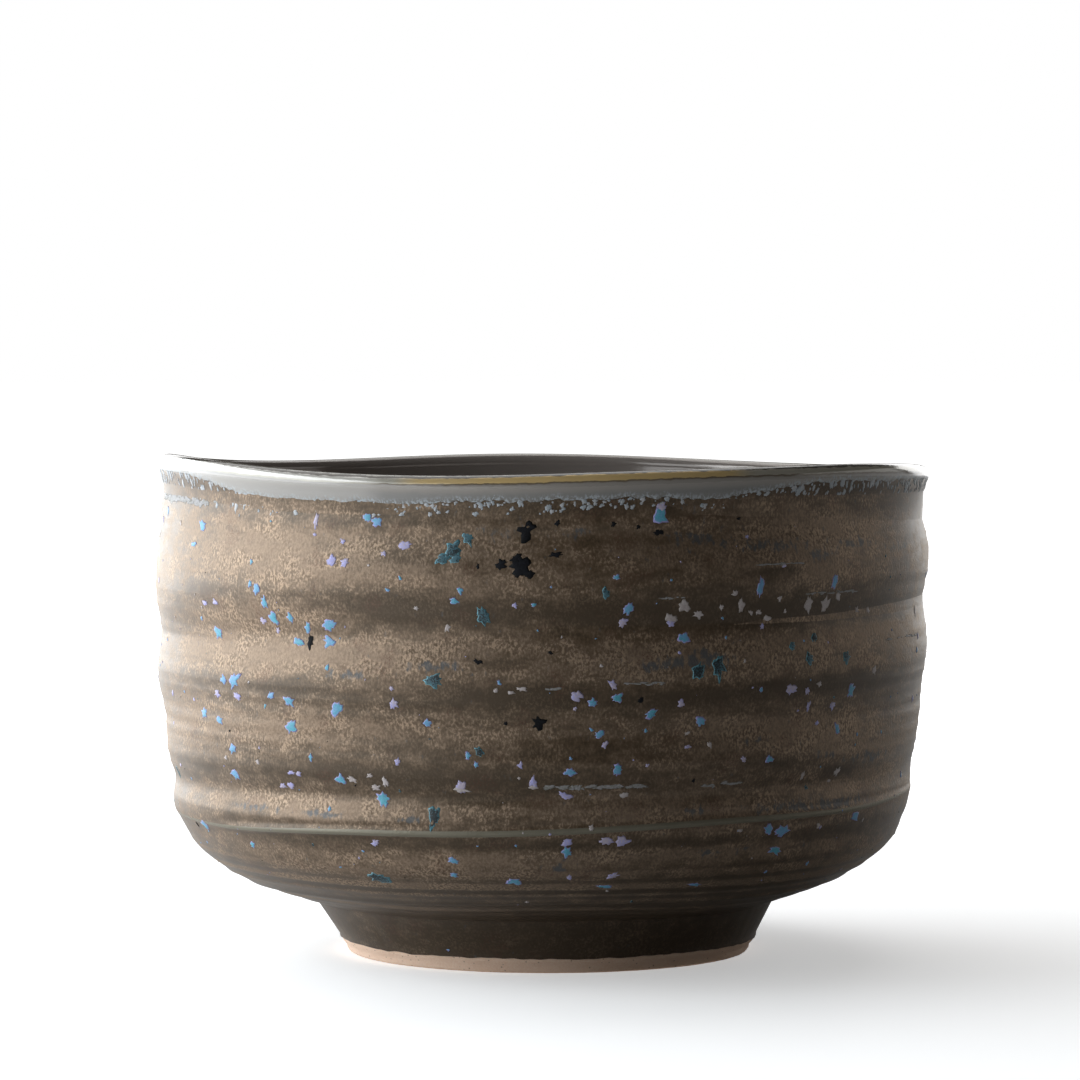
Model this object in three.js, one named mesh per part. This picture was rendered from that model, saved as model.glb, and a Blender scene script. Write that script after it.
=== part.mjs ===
// A matcha bowl: a thrown stoneware bowl on an applied foot ring, under four coats of fired glaze.
// Millimetres, +Z up. The origin is on the table, under the middle of the foot ring.

import * as THREE from 'three';

// Driving dimensions
const BELLY_RADIUS = 59.6;
const LIP_HEIGHT = 75.6;
const LIP_THICKNESS = 3.1;
const HIP_RADIUS = 57.2;
const HIP_HEIGHT = 26;
const FOOT_HEIGHT = 7;
const FOOT_TOP_RADIUS = 35;
const FOOT_FACE_RADIUS = 31.2;
const FOOT_HOLLOW_RADIUS = 26.9;
const FLOOR_HEIGHT = 12;

// Glaze coats
const GLAZE = 0.5;
const GAP = 0.05; // between a coat and the clay that it is fired onto
const BARE_CLAY = 2; // the wiped band at the bottom of the foot
const LIP_COAT_DEPTH = 3.6; // how far the lip's own coat runs down the outside

// Rings left by the thrower's fingers
const RING_PITCH = 13;
const RING_RISE = 0.35;
const RING_CREST_HEIGHT = 60;

// The lip rises and falls round the bowl: each wave has a number of swells, a rise and the
// bearing of a crest in degrees, counted from the front (-Y) towards +X.
const LIP_WAVES = [
  { swells: 1, rise: 0.7, crest: -42 },
  { swells: 2, rise: 0.35, crest: 70 },
  { swells: 3, rise: 0.7, crest: 49 },
  { swells: 4, rise: 0.2, crest: 8 },
];
const WAVE_START_HEIGHT = 38;

const FACETS_ROUND = 40;
const STEPS_PER_STRETCH = 2;

// Outlines of the glazed surface, as [radius, height]
const LIP_CENTRE = [BELLY_RADIUS - 1.2, LIP_HEIGHT - LIP_THICKNESS / 2];
const OUTSIDE = [
  [FOOT_FACE_RADIUS, 0],
  [FOOT_FACE_RADIUS + 1.9, BARE_CLAY],
  [FOOT_TOP_RADIUS - 0.8, FOOT_HEIGHT - 2],
  [FOOT_TOP_RADIUS, FOOT_HEIGHT],
  [FOOT_TOP_RADIUS + 2.6, FOOT_HEIGHT + 1.9],
  [HIP_RADIUS - 9.6, FOOT_HEIGHT + 6],
  [HIP_RADIUS - 4, HIP_HEIGHT - 9],
  [HIP_RADIUS - 0.9, HIP_HEIGHT - 4],
  [HIP_RADIUS + 0.3, HIP_HEIGHT + 3],
  [BELLY_RADIUS - 1.1, HIP_HEIGHT + 10],
  [BELLY_RADIUS - 0.6, HIP_HEIGHT + 17],
  [BELLY_RADIUS - 0.2, HIP_HEIGHT + 24],
  [BELLY_RADIUS, HIP_HEIGHT + 31],
  [BELLY_RADIUS, HIP_HEIGHT + 37],
  [BELLY_RADIUS - 0.4, LIP_HEIGHT - 7.5],
  [BELLY_RADIUS + 0.2, LIP_HEIGHT - LIP_COAT_DEPTH],
];
const INSIDE = [
  [LIP_CENTRE[0] - 2, LIP_HEIGHT - 4.6],
  [LIP_CENTRE[0] - 2.9, LIP_HEIGHT - 10],
  [LIP_CENTRE[0] - 3.5, 55],
  [LIP_CENTRE[0] - 4.4, 40],
  [LIP_CENTRE[0] - 6.1, 29],
  [LIP_CENTRE[0] - 9.7, 21.5],
  [LIP_CENTRE[0] - 15.7, FLOOR_HEIGHT + 4.8],
  [LIP_CENTRE[0] - 25, FLOOR_HEIGHT + 1.9],
  [18, FLOOR_HEIGHT + 0.4],
  [0, FLOOR_HEIGHT],
];

function smooth(keys) {
  const curve = new THREE.SplineCurve(keys.map(([r, z]) => new THREE.Vector2(r, z)));
  return curve.getPoints(STEPS_PER_STRETCH * (keys.length - 1));
}

// Adds the throwing rings to the belly, and none below the hip or at the lip.
function addRings(points) {
  return points.map((p) => {
    const phase = (2 * Math.PI * (p.y - RING_CREST_HEIGHT)) / RING_PITCH;
    const fade = THREE.MathUtils.smoothstep(p.y, HIP_HEIGHT - 12, HIP_HEIGHT + 3)
      * (1 - THREE.MathUtils.smoothstep(p.y, LIP_HEIGHT - 12, LIP_HEIGHT - 7));
    return new THREE.Vector2(p.x + RING_RISE * fade * Math.cos(phase), p.y);
  });
}

// The rounded lip, an arc from the outside over the crest to the inside.
function lipArc() {
  const arc = new THREE.ArcCurve(...LIP_CENTRE, LIP_THICKNESS / 2, 0, Math.PI, false);
  return arc.getPoints(6);
}

// Sinks a line into the wall by a depth. The glazed side is on the right of its direction.
function sink(line, depth) {
  return line.map((p, i) => {
    const ahead = line[Math.min(i + 1, line.length - 1)];
    const behind = line[Math.max(i - 1, 0)];
    const along = ahead.clone().sub(behind).normalize();
    const moved = new THREE.Vector2(p.x - along.y * depth, p.y + along.x * depth);
    if (p.x < GAP) moved.set(0, p.y - depth);
    return moved;
  });
}

// Pulls a line's ends in by the gap, so that neighbouring coats don't touch.
function shorten(line) {
  const pulled = line.map((p) => p.clone());
  const pull = (end, next) => end.lerp(next, GAP / end.distanceTo(next));
  pull(pulled[0], line[1]);
  if (line.at(-1).x > 0) pull(pulled.at(-1), line.at(-2));
  return pulled;
}

// Cuts a rising line at a height, and keeps what is below or above it.
function cutAt(line, height) {
  const i = line.findIndex((p) => p.y > height);
  const t = (height - line[i - 1].y) / (line[i].y - line[i - 1].y);
  const cut = line[i - 1].clone().lerp(line[i], t);
  return { below: [...line.slice(0, i), cut], above: [cut, ...line.slice(i)] };
}

const outside = addRings(smooth(OUTSIDE));
const lipTop = lipArc();
const inside = smooth(INSIDE);
const surface = [...outside, ...lipTop, ...inside];
const glazeBack = sink(surface, GLAZE);
const clayFace = sink(surface, GLAZE + GAP);
clayFace[0].y = 0;

// Places on the surface where one coat ends: at OUTSIDE's second point, at its last point,
// and at INSIDE's first point.
const glazeStart = STEPS_PER_STRETCH;
const lipStart = outside.length - 1;
const lipEnd = outside.length + lipTop.length;

// A coat of glaze between two places on the surface, as a closed outline.
function coat(first, last) {
  const back = shorten(glazeBack.slice(first, last + 1)).reverse();
  const face = shorten(surface.slice(first, last + 1));
  return [...back, ...face, ...(face.at(-1).x > 0 ? [back[0]] : [])];
}

function clayBodyOutline() {
  const underside = FOOT_HEIGHT + GAP / 2;
  return [new THREE.Vector2(0, underside), ...cutAt(clayFace, underside).above];
}

function footRingOutline() {
  const top = FOOT_HEIGHT - GAP / 2;
  const wall = cutAt(clayFace, top).below;
  const hollowTop = new THREE.Vector2(FOOT_HOLLOW_RADIUS - 0.5, top);
  const hollowFoot = new THREE.Vector2(FOOT_HOLLOW_RADIUS, 0);
  return [hollowFoot, ...wall, hollowTop, hollowFoot];
}

// The coat inside the foot: its ceiling, and a skirt down the foot's inner wall.
function recessOutline() {
  const top = FOOT_HEIGHT - GAP / 2;
  const wall = FOOT_HOLLOW_RADIUS - 0.5 - GAP;
  return [
    [0, top - GLAZE],
    [wall - GLAZE, top - GLAZE],
    [wall - GLAZE, BARE_CLAY],
    [wall, BARE_CLAY],
    [wall, top],
    [0, top],
  ].map(([r, z]) => new THREE.Vector2(r, z));
}

// Height of the lip's waves at a bearing in radians.
function lipWave(bearing) {
  return LIP_WAVES.reduce((sum, { swells, rise, crest: degrees }) => {
    const crestBearing = THREE.MathUtils.degToRad(degrees);
    return sum + rise * Math.cos(swells * (bearing - crestBearing));
  }, 0);
}

// Lifts each vertex by the lip's wave, which dies away down the wall.
function addLipWave(geometry) {
  const position = geometry.attributes.position;
  for (let i = 0; i < position.count; i += 1) {
    const [x, y, z] = [position.getX(i), position.getY(i), position.getZ(i)];
    const reach = Math.max(0, (z - WAVE_START_HEIGHT) / (LIP_HEIGHT - WAVE_START_HEIGHT));
    position.setZ(i, z + reach * reach * lipWave(Math.atan2(x, -y)));
  }
}

// Turns an outline about +Z, starting at the front (-Y), and adds the lip's wave.
function turn(name, outline, finish) {
  const geometry = new THREE.LatheGeometry(outline, FACETS_ROUND);
  geometry.rotateX(Math.PI / 2);
  addLipWave(geometry);
  const mesh = new THREE.Mesh(geometry, new THREE.MeshStandardMaterial(finish));
  mesh.name = name;
  return mesh;
}

const CLAY = { color: 0xd9ab92, roughness: 0.85, metalness: 0 };
const BROWN_GLAZE = { color: 0x5c4d40, roughness: 0.4, metalness: 0.35 };
const LIP_GLAZE = { color: 0x8a8781, roughness: 0.25, metalness: 0.2 };
const DARK_GLAZE = { color: 0x3f3936, roughness: 0.22, metalness: 0.1 };

const bowl = new THREE.Group();
bowl.add(turn('clay_body', clayBodyOutline(), CLAY));
bowl.add(turn('foot_ring', footRingOutline(), CLAY));
bowl.add(turn('outer_glaze', coat(glazeStart, lipStart), BROWN_GLAZE));
bowl.add(turn('lip_glaze', coat(lipStart, lipEnd), LIP_GLAZE));
bowl.add(turn('inner_glaze', coat(lipEnd, surface.length - 1), DARK_GLAZE));
bowl.add(turn('foot_recess_glaze', recessOutline(), DARK_GLAZE));

export default bowl;
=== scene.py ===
# %% [markdown]
# # A matcha bowl
# This lesson dresses a plain CAD bowl as the fired pot: a thrown stoneware bowl with finger rings,
# a wavy lip and a trimmed foot, under a satin bronze glaze full of small crystals.
# The CAD model gives the size and the place of every layer, and each surface here follows it.

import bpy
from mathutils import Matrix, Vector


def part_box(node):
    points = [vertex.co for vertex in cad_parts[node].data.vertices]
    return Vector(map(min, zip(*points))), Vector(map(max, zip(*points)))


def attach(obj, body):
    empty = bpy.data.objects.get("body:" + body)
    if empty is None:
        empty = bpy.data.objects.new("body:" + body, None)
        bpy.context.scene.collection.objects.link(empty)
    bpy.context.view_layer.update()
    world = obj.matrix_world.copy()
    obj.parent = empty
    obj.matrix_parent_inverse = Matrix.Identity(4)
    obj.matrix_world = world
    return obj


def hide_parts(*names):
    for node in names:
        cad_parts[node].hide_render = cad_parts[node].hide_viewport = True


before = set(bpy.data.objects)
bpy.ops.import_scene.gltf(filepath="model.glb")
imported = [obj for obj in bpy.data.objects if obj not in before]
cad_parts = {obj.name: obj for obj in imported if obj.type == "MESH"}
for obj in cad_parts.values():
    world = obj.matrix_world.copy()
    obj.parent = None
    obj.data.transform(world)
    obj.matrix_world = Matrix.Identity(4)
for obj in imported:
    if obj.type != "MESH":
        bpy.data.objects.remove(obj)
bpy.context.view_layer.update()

# %% [markdown]
# ## Sizes
# A potter would take calipers to the pot. Here the calipers are put on the CAD layers: the belly's
# radius, the height of the floor, the foot's joint and its hollow all come from their boxes.
# Everything is in metres, so a size in millimetres is written as a number times MM.

import bpy
import numpy as np
from mathutils import Vector

MM = 0.001
GLAZE = 0.5 * MM
HIDDEN_GAP = 0.05 * MM


def highest(node):
    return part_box(node)[1]


def lowest(node):
    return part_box(node)[0]


RING_RISE = 0.38 * MM
BELLY = highest("outer_glaze").x - RING_RISE
FOOT_JOINT = highest("foot_ring").z
FOOT_TOP = highest("foot_ring").x + GLAZE
HOLLOW = highest("foot_recess_glaze").x
FLOOR = lowest("inner_glaze").z + GLAZE
GLAZE_START = lowest("outer_glaze").z
print("belly radius", round(BELLY / MM, 2), "mm, floor height", round(FLOOR / MM, 2), "mm")

# %% [markdown]
# ## The lip's wave
# A thrown lip is never quite level. The CAD lip already has the wave, so its crest is read off the
# CAD node: the highest vertex at each bearing round the bowl. A Fourier series of a few swells
# turns those forty heights into a smooth function of bearing. Bearings count from the front, -Y,
# towards +X.

# %% Read the wave from the CAD lip
SWELLS = 6
FACETS = 40


def cad_lip_crest():
    """Mean height of the CAD lip's crest, and its Fourier terms: amplitudes of exp(i k bearing)."""
    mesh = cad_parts["lip_glaze"].data
    points = np.zeros(3 * len(mesh.vertices))
    mesh.vertices.foreach_get("co", points)
    x, y, z = points.reshape(-1, 3).T
    facet = np.round(np.arctan2(x, -y) / (2 * np.pi) * FACETS).astype(int) % FACETS
    crest = np.full(FACETS, -1.0)
    np.maximum.at(crest, facet, z)
    terms = np.fft.rfft(crest) / FACETS
    return terms[0].real, terms[1:SWELLS]


LIP, LIP_TERMS = cad_lip_crest()


def lip_wave(bearing):
    """Rise of the lip at a bearing: twice the real part of the sum of its Fourier terms."""
    turns = np.multiply.outer(bearing, 1j * np.arange(1, SWELLS))
    return 2 * (np.exp(turns) @ LIP_TERMS).real


round_the_lip = np.linspace(0, 2 * np.pi, 360, endpoint=False)
print("lip height", round(LIP / MM, 2), "mm, wave from",
      np.round(lip_wave(round_the_lip).min() / MM, 2), "to",
      np.round(lip_wave(round_the_lip).max() / MM, 2), "mm")

# %% [markdown]
# ## One line round the whole section
# Cut the bowl in half and follow the glazed surface with a finger: up the foot, out along the
# trimmed underside, round the hip, up the wall, over the lip, and down the inside to the middle of
# the floor. That is one line, so the whole bowl can be one function of the bearing and of the
# distance along that line. The line is a Catmull-Rom curve through a few given points.

# %% Draw the section
LIP_HALF = 1.55 * MM
LIP_MIDDLE = (BELLY - 1.2 * MM, LIP - LIP_HALF)


def smooth_line(keys, steps=40):
    """Catmull-Rom curve: between keys b and c, the cubic whose slopes there are (c-a)/2 and (d-b)/2."""
    keys = np.asarray(keys, float)
    padded = np.vstack([2 * keys[0] - keys[1], keys, 2 * keys[-1] - keys[-2]])
    a, b, c, d = (padded[i:len(keys) - 1 + i, None, :] for i in range(4))
    t = np.linspace(0, 1, steps, endpoint=False)[None, :, None]
    cubic = b + t * (c - a) / 2 + t**2 * (a - 2.5 * b + 2 * c - d / 2)
    cubic = cubic + t**3 * (1.5 * (b - c) + (d - a) / 2)
    return np.vstack([cubic.reshape(-1, keys.shape[1]), keys[-1]])


def section_keys():
    """The section's points as (radius, height), from the foot's edge to the middle of the floor."""
    outside = [
        (FOOT_TOP - 3.7 * MM, 0),
        (FOOT_TOP - 2.2 * MM, 2.0 * MM),
        (FOOT_TOP - 2.1 * MM, FOOT_JOINT - 2.6 * MM),
        (FOOT_TOP - 1.8 * MM, FOOT_JOINT - 0.8 * MM),
        (FOOT_TOP - 0.6 * MM, FOOT_JOINT + 0.7 * MM),
        (FOOT_TOP + 3.2 * MM, FOOT_JOINT + 2.1 * MM),
        (BELLY - 16.5 * MM, 10.8 * MM),
        (BELLY - 11.8 * MM, 12.8 * MM),
        (BELLY - 6.1 * MM, 16.9 * MM),
        (BELLY - 3.2 * MM, 22.0 * MM),
        (BELLY - 2.1 * MM, 29.0 * MM),
        (BELLY - 1.1 * MM, 36.0 * MM),
        (BELLY - 0.6 * MM, 43.0 * MM),
        (BELLY - 0.2 * MM, 50.0 * MM),
        (BELLY, 57.0 * MM),
        (BELLY + 0.1 * MM, 63.0 * MM),
        (BELLY - 0.5 * MM, LIP - 7.4 * MM),
        (BELLY - 0.5 * MM, LIP - 4.8 * MM),
        (BELLY, LIP - 3.0 * MM),
    ]
    angles = np.radians([-10, 15, 45, 75, 105, 135, 165, 190])
    lip = [(LIP_MIDDLE[0] + LIP_HALF * np.cos(a), LIP_MIDDLE[1] + LIP_HALF * np.sin(a)) for a in angles]
    inside = [
        (LIP_MIDDLE[0] - 2.0 * MM, LIP - 4.8 * MM),
        (LIP_MIDDLE[0] - 2.9 * MM, LIP - 10 * MM),
        (LIP_MIDDLE[0] - 3.5 * MM, 55 * MM),
        (LIP_MIDDLE[0] - 4.4 * MM, 40 * MM),
        (LIP_MIDDLE[0] - 6.1 * MM, 29 * MM),
        (LIP_MIDDLE[0] - 9.7 * MM, 21.5 * MM),
        (LIP_MIDDLE[0] - 15.7 * MM, FLOOR + 4.8 * MM),
        (LIP_MIDDLE[0] - 25 * MM, FLOOR + 1.9 * MM),
        (18 * MM, FLOOR + 0.4 * MM),
        (0, FLOOR),
    ]
    return outside + lip + inside


line = smooth_line(section_keys())
line_along = np.concatenate([[0], np.cumsum(np.hypot(*np.diff(line, axis=0).T))])
slope = np.gradient(line, line_along, axis=0)
slope /= np.hypot(*slope.T)[:, None]
LINE_END = line_along[-1]
crest_index = int(np.argmax(line[:, 1]))
AT_CREST = line_along[crest_index]
print("the section's line is", round(LINE_END / MM, 1), "mm long")


def section(along):
    """Radius, height and outward direction of the line at a distance along it."""
    radius = np.interp(along, line_along, line[:, 0])
    height = np.interp(along, line_along, line[:, 1])
    out_r = np.interp(along, line_along, slope[:, 1])
    out_z = np.interp(along, line_along, -slope[:, 0])
    return radius, height, out_r, out_z


def outside_at(height):
    """Distance along the line where the outside reaches a height."""
    return np.interp(height, line[:crest_index, 1], line_along[:crest_index])


def inside_at(height):
    """Distance along the line where the inside comes down to a height."""
    return np.interp(-np.asarray(height), -line[crest_index:, 1], line_along[crest_index:])


# %% [markdown]
# ## The potter's marks
# Fingers that rise slowly while the wheel turns leave a spiral ridge, which closes up towards the
# hip and opens out towards the lip. Between two turns of the ridge the clay keeps a sharp crease.
# Lower down, a trimming tool leaves fine rings, and where the tool stopped there is a raised line
# round the hip. A sculptor would carve these. Here each mark is a small height, in metres, added
# along the surface's outward direction.

# %% Describe the relief
RING_HEIGHTS = np.array([4, 13, 22, 31, 41, 56.5, 71, 87]) * MM
RING_TURNS = np.array([-2, -1, 0, 1, 2, 3, 4, 5])
RING_TILT = 1.0 * MM
HIP_LINE = 23.9 * MM
HIP_TILT = 1.8 * MM
TRIM_RINGS = [(8.8, 0.08), (9.7, 0.12), (10.8, 0.10), (12.1, 0.13), (13.9, 0.11), (18.2, 0.10)]


def between(value, low, high):
    """Smooth step: 0 below low, 1 above high, and 3t²-2t³ between them."""
    t = np.clip((value - low) / (high - low), 0, 1)
    return t * t * (3 - 2 * t)


def ripples(bearing, height, seed, swells, lengths, count=14):
    """Soft random noise with no seam: a mean of cosines, each with a whole number of swells round
    the bowl, up to swells, and a wavelength up the wall between the two lengths."""
    rng = np.random.default_rng(seed)
    total = 0
    for _ in range(count):
        turns = rng.integers(0, swells + 1) * rng.choice([-1, 1])
        climb = 2 * np.pi / rng.uniform(*lengths)
        total = total + np.cos(turns * bearing + climb * height + rng.uniform(0, 2 * np.pi))
    return total / np.sqrt(count / 2)


def ring_phase(bearing, height):
    """Phase of the finger spiral: whole turns lie on its ridge, half turns in its crease."""
    climb = smooth_line(np.stack([RING_HEIGHTS, RING_TURNS], 1))
    turns = np.interp(height + RING_TILT * np.sin(bearing), climb[:, 0], climb[:, 1])
    return 2 * np.pi * turns - (bearing + np.pi / 2)


def finger_rings(bearing, height):
    """Ridge and crease: a cosine on the soft side of the bowl, and where the crease is crisp a
    bowed wave with a sharp bottom, twice the size of cos(phase/2), less 1.25. The rings are calmer
    low down on the right."""
    phase = ring_phase(bearing, height)
    crisp = 0.30 + 0.60 * between(np.cos(bearing - 0.9), -0.6, 0.9)
    bowed = 2 * np.sqrt(np.cos(phase / 2) ** 2 + 0.004) - 1.25
    size = RING_RISE * (1 + 0.28 * ripples(bearing, height, 3, 3, (20 * MM, 60 * MM)))
    fade = between(height, 15 * MM, 27 * MM) * (1 - between(height, LIP - 10 * MM, LIP - 6 * MM))
    calm = between(np.sin(bearing), 0.75, 0.97) * (1 - between(height, 36 * MM, 46 * MM))
    return size * (1 - 0.6 * calm) * fade * ((1 - crisp) * np.cos(phase) + crisp * bowed)


def bump(distance, width):
    """A rounded bead: 1 in the middle, and the bell curve exp(-(distance/width)²) beside it."""
    return np.exp(-((distance / width) ** 2))


def hip_height(bearing):
    """Height of the raised line at the hip: a tilt, and a slight unsteadiness."""
    return HIP_LINE + HIP_TILT * np.sin(bearing) + 0.12 * MM * ripples(bearing, 0, 5, 9, (1, 2))


def hip_line(bearing, height):
    """The raised line at the hip, with a shallow groove above and below it; it is flatter on the
    sides of the bowl."""
    up = height - hip_height(bearing)
    bead = 0.30 * bump(up, 0.45 * MM) - 0.16 * bump(up - 1.0 * MM, 0.5 * MM)
    bead = bead - 0.12 * bump(up + 1.0 * MM, 0.5 * MM)
    return bead * MM * (1 - 0.8 * between(np.abs(np.sin(bearing)), 0.75, 0.95))


def trimming(bearing, height):
    """Fine rings of the trimming tool on the underside, each a small bead at its own height."""
    up = height - 0.45 * MM * np.sin(bearing)
    rings = sum(size * MM * bump(up - at * MM, 0.30 * MM) for at, size in TRIM_RINGS)
    return rings * (1 + 0.35 * ripples(bearing, height, 8, 5, (4 * MM, 12 * MM)))


def outside_relief(bearing, height):
    """All the marks on the outside, with soft dents and fine finger lines."""
    dents = 0.10 * MM * ripples(bearing, height, 11, 6, (18 * MM, 50 * MM))
    wall = between(height, 18 * MM, 28 * MM) * (1 - between(height, LIP - 5 * MM, LIP - 1 * MM))
    lines = 0.028 * MM * ripples(bearing, height, 12, 2, (1.4 * MM, 3.2 * MM)) * wall
    above_foot = between(height, 5 * MM, 12 * MM)
    return (finger_rings(bearing, height) + hip_line(bearing, height)
            + trimming(bearing, height) + (dents + lines) * above_foot)


def inside_relief(bearing, height, radius):
    """Softer finger rings on the inner wall, and a slow spiral on the floor."""
    wall = between(height, FLOOR + 8 * MM, FLOOR + 18 * MM) * (1 - between(height, 64 * MM, 72 * MM))
    rings = 0.22 * MM * np.cos(ring_phase(bearing, height) + 0.6) * wall
    on_floor = between(radius, 3 * MM, 9 * MM) * (1 - between(radius, 34 * MM, 42 * MM))
    spiral = 0.16 * MM * np.cos(2 * np.pi * radius / (6.5 * MM) - bearing) * on_floor
    away = between(radius, 1 * MM, 8 * MM)
    return rings + spiral + away * 0.06 * MM * ripples(bearing, height, 14, 5, (12 * MM, 40 * MM))


# %% [markdown]
# ## The skin of the bowl
# Every layer of the bowl, from the lip's glaze to the clay inside, is the same skin at another
# depth. So one function gives the place of a point from its bearing, its distance along the
# section and its depth under the glaze. The lip's wave dies away down the wall, and the foot sits
# a little off the bowl's middle, as a foot trimmed by hand does.

# %% Put a point on the skin
WAVE_START = 38 * MM
FOOT_SHIFT = 1.0 * MM
LIP_SHIFT = 0.4 * MM
LIP_NARROWING = 0.32 * MM


def skin(bearing, along, depth):
    """x, y, z of a point: the section's point, moved outwards by the relief less the depth, turned
    about +Z by the bearing, lifted by the lip's wave and moved by the foot's and the lip's shift.
    The lip is a little narrower than its section, so that its shift doesn't widen the bowl."""
    radius, height, out_r, out_z = section(along)
    outside = outside_relief(bearing, height)
    inside = inside_relief(bearing, height, radius)
    over = between(along, AT_CREST - 1.2 * MM, AT_CREST + 1.2 * MM)
    lift = (1 - over) * outside + over * inside - depth
    r = np.maximum(radius + out_r * lift, 0)
    z = height + out_z * lift
    reach = np.clip((z - WAVE_START) / (LIP - WAVE_START), 0, None)
    z = z + reach**2 * lip_wave(bearing)
    shift = FOOT_SHIFT * (1 - between(height, 2 * MM, 14 * MM)) * (1 - over)
    to_lip = between(height, LIP - 9 * MM, LIP - 3 * MM)
    r = r - LIP_NARROWING * to_lip
    return r * np.sin(bearing) + shift + LIP_SHIFT * to_lip, -r * np.cos(bearing), z


# %% [markdown]
# ## From arrays to meshes
# A coat of glaze is a thin shell. Its cut is a flat loop: along the face, round one end, back
# along the underside and round the other end. Sweeping that loop round the bowl gives a closed
# skin with no seam. A loop that reaches the bowl's middle ends there in one vertex, a pole.

# %% Make closed meshes from grids
def grid_faces(rows, columns, closed):
    """Four-sided faces between neighbouring rows and columns; columns always wrap round."""
    i = np.arange(rows if closed else rows - 1)[:, None]
    j = np.arange(columns)[None, :]
    below, above = i * columns, (i + 1) % rows * columns
    following = (j + 1) % columns
    return np.stack([below + j, below + following, above + following, above + j], -1).reshape(-1, 4)


def mesh_object(name, points, quads, triangles=None):
    """A new object from an array of points, four-sided faces and optional triangles."""
    mesh = bpy.data.meshes.new(name)
    faces = quads.tolist() + ([] if triangles is None else triangles.tolist())
    mesh.from_pydata(points.reshape(-1, 3).tolist(), [], faces)
    mesh.polygons.foreach_set("use_smooth", np.ones(len(mesh.polygons), bool))
    mesh.update()
    piece = bpy.data.objects.new(name, mesh)
    bpy.context.scene.collection.objects.link(piece)
    return piece


def closed_shell(name, points, pole=False):
    """A closed surface through a grid of points, one row for each step of the loop. With a pole,
    the first and last rows lie on the axis, and each becomes one vertex with a fan of triangles."""
    rows, columns, _ = points.shape
    if not pole:
        return mesh_object(name, points, grid_faces(rows, columns, closed=True))
    ends = points[[0, -1]].mean(axis=1)
    inner = points[1:-1]
    quads = grid_faces(rows - 2, columns, closed=False)
    j = np.arange(columns)
    following = (j + 1) % columns
    first, last, top = (rows - 2) * columns, (rows - 2) * columns + 1, (rows - 3) * columns
    fans = np.concatenate([
        np.stack([np.full(columns, first), following, j], 1),
        np.stack([np.full(columns, last), top + j, top + following], 1),
    ])
    return mesh_object(name, np.concatenate([inner.reshape(-1, 3), ends]), quads, fans)


def all_round(columns):
    """Even bearings round the bowl, as one row of the grid."""
    return np.linspace(0, 2 * np.pi, columns, endpoint=False)[None, :]


def swept(name, along, depth, columns, pole=False):
    """A closed shell on the skin: row i of its loop is at along[i] and depth[i]."""
    bearing = all_round(columns)
    points = np.stack(skin(bearing, along + 0 * bearing, depth + 0 * bearing), -1)
    return closed_shell(name, points, pole)


def finish_piece(piece, node):
    """Lets a piece ride on the bowl and stand for its CAD node, if it has one."""
    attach(piece, "root")
    if node:
        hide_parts(node)
    print(piece.name, "has", len(piece.data.polygons), "faces")


# %% [markdown]
# ## The outer glaze
# The bronze glaze covers the wall and most of the foot. At the foot the potter wiped it away, and
# it ends there in a soft roll along a wavy edge. Rows are packed closer where the marks are fine:
# round the hip line and on the trimmed underside.

# %% Build the coat of bronze glaze
def stadium(start, end, thickness, face_rows, back_rows, end_rows=5):
    """The loop of a coat in (along, depth): a flat face, a half circle round each end and a flat
    back. Start, end and thickness are numbers or one value for each bearing."""
    half = thickness / 2
    turn = np.linspace(0, np.pi, end_rows + 2)[1:-1, None]
    face_rows, back_rows = np.reshape(face_rows, (-1, 1)), np.reshape(back_rows, (-1, 1))
    length = end - start - thickness
    face = start + half + face_rows * length
    back = start + half + back_rows[::-1] * length
    far = end - half + half * np.sin(turn)
    near = start + half - half * np.sin(turn)
    along = np.concatenate([face, far, back, near])
    depth = np.concatenate([
        0 * face,
        half - half * np.cos(turn) + 0 * far,
        thickness + 0 * back,
        half + half * np.cos(turn) + 0 * near,
    ])
    return along, depth


def packed_rows(start, end, count, focus):
    """Rows from 0 to 1, closer together where focus, a function of distance along, is larger."""
    along = np.linspace(start, end, 4000)
    weight = np.cumsum(focus(along))
    weight = (weight - weight[0]) / (weight[-1] - weight[0])
    return np.interp(np.linspace(0, 1, count), weight, np.linspace(0, 1, along.size))


def fine_marks(along):
    """Where the outside needs close rows: the trimmed underside and the hip line."""
    height = section(along)[1]
    hip = between(height, 20.5 * MM, 21.5 * MM) * (1 - between(height, 26.5 * MM, 27.5 * MM))
    return 1 + 1.6 * hip + 0.3 * (height < 18 * MM)


def foot_edge(bearing):
    """Height of the glaze's wavy lower edge on the foot."""
    wave = 0.12 * ripples(bearing, 0, 21, 7, (1, 2)) + 0.06 * ripples(bearing, 0, 22, 90, (1, 2))
    return GLAZE_START + 0.1 * MM + wave * MM


OUTER_COLUMNS = 440
bearings = all_round(OUTER_COLUMNS)
glaze_bottom = outside_at(foot_edge(bearings))
glaze_top = outside_at(LIP - 2.0 * MM) + 0 * bearings
face_rows = packed_rows(glaze_bottom.mean(), glaze_top.mean(), 176, fine_marks)
outer_along, outer_depth = stadium(
    glaze_bottom, glaze_top, GLAZE, face_rows, np.linspace(0, 1, 12))
thinning = 1 - between(outer_along - glaze_bottom, 0.3 * MM, 2.2 * MM)
outer_depth = np.maximum(outer_depth, 0.34 * MM * thinning)  # the coat thins out towards its edge
outer_coat = swept("outer_glaze_coat", outer_along, outer_depth, OUTER_COLUMNS)
finish_piece(outer_coat, "outer_glaze")

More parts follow.
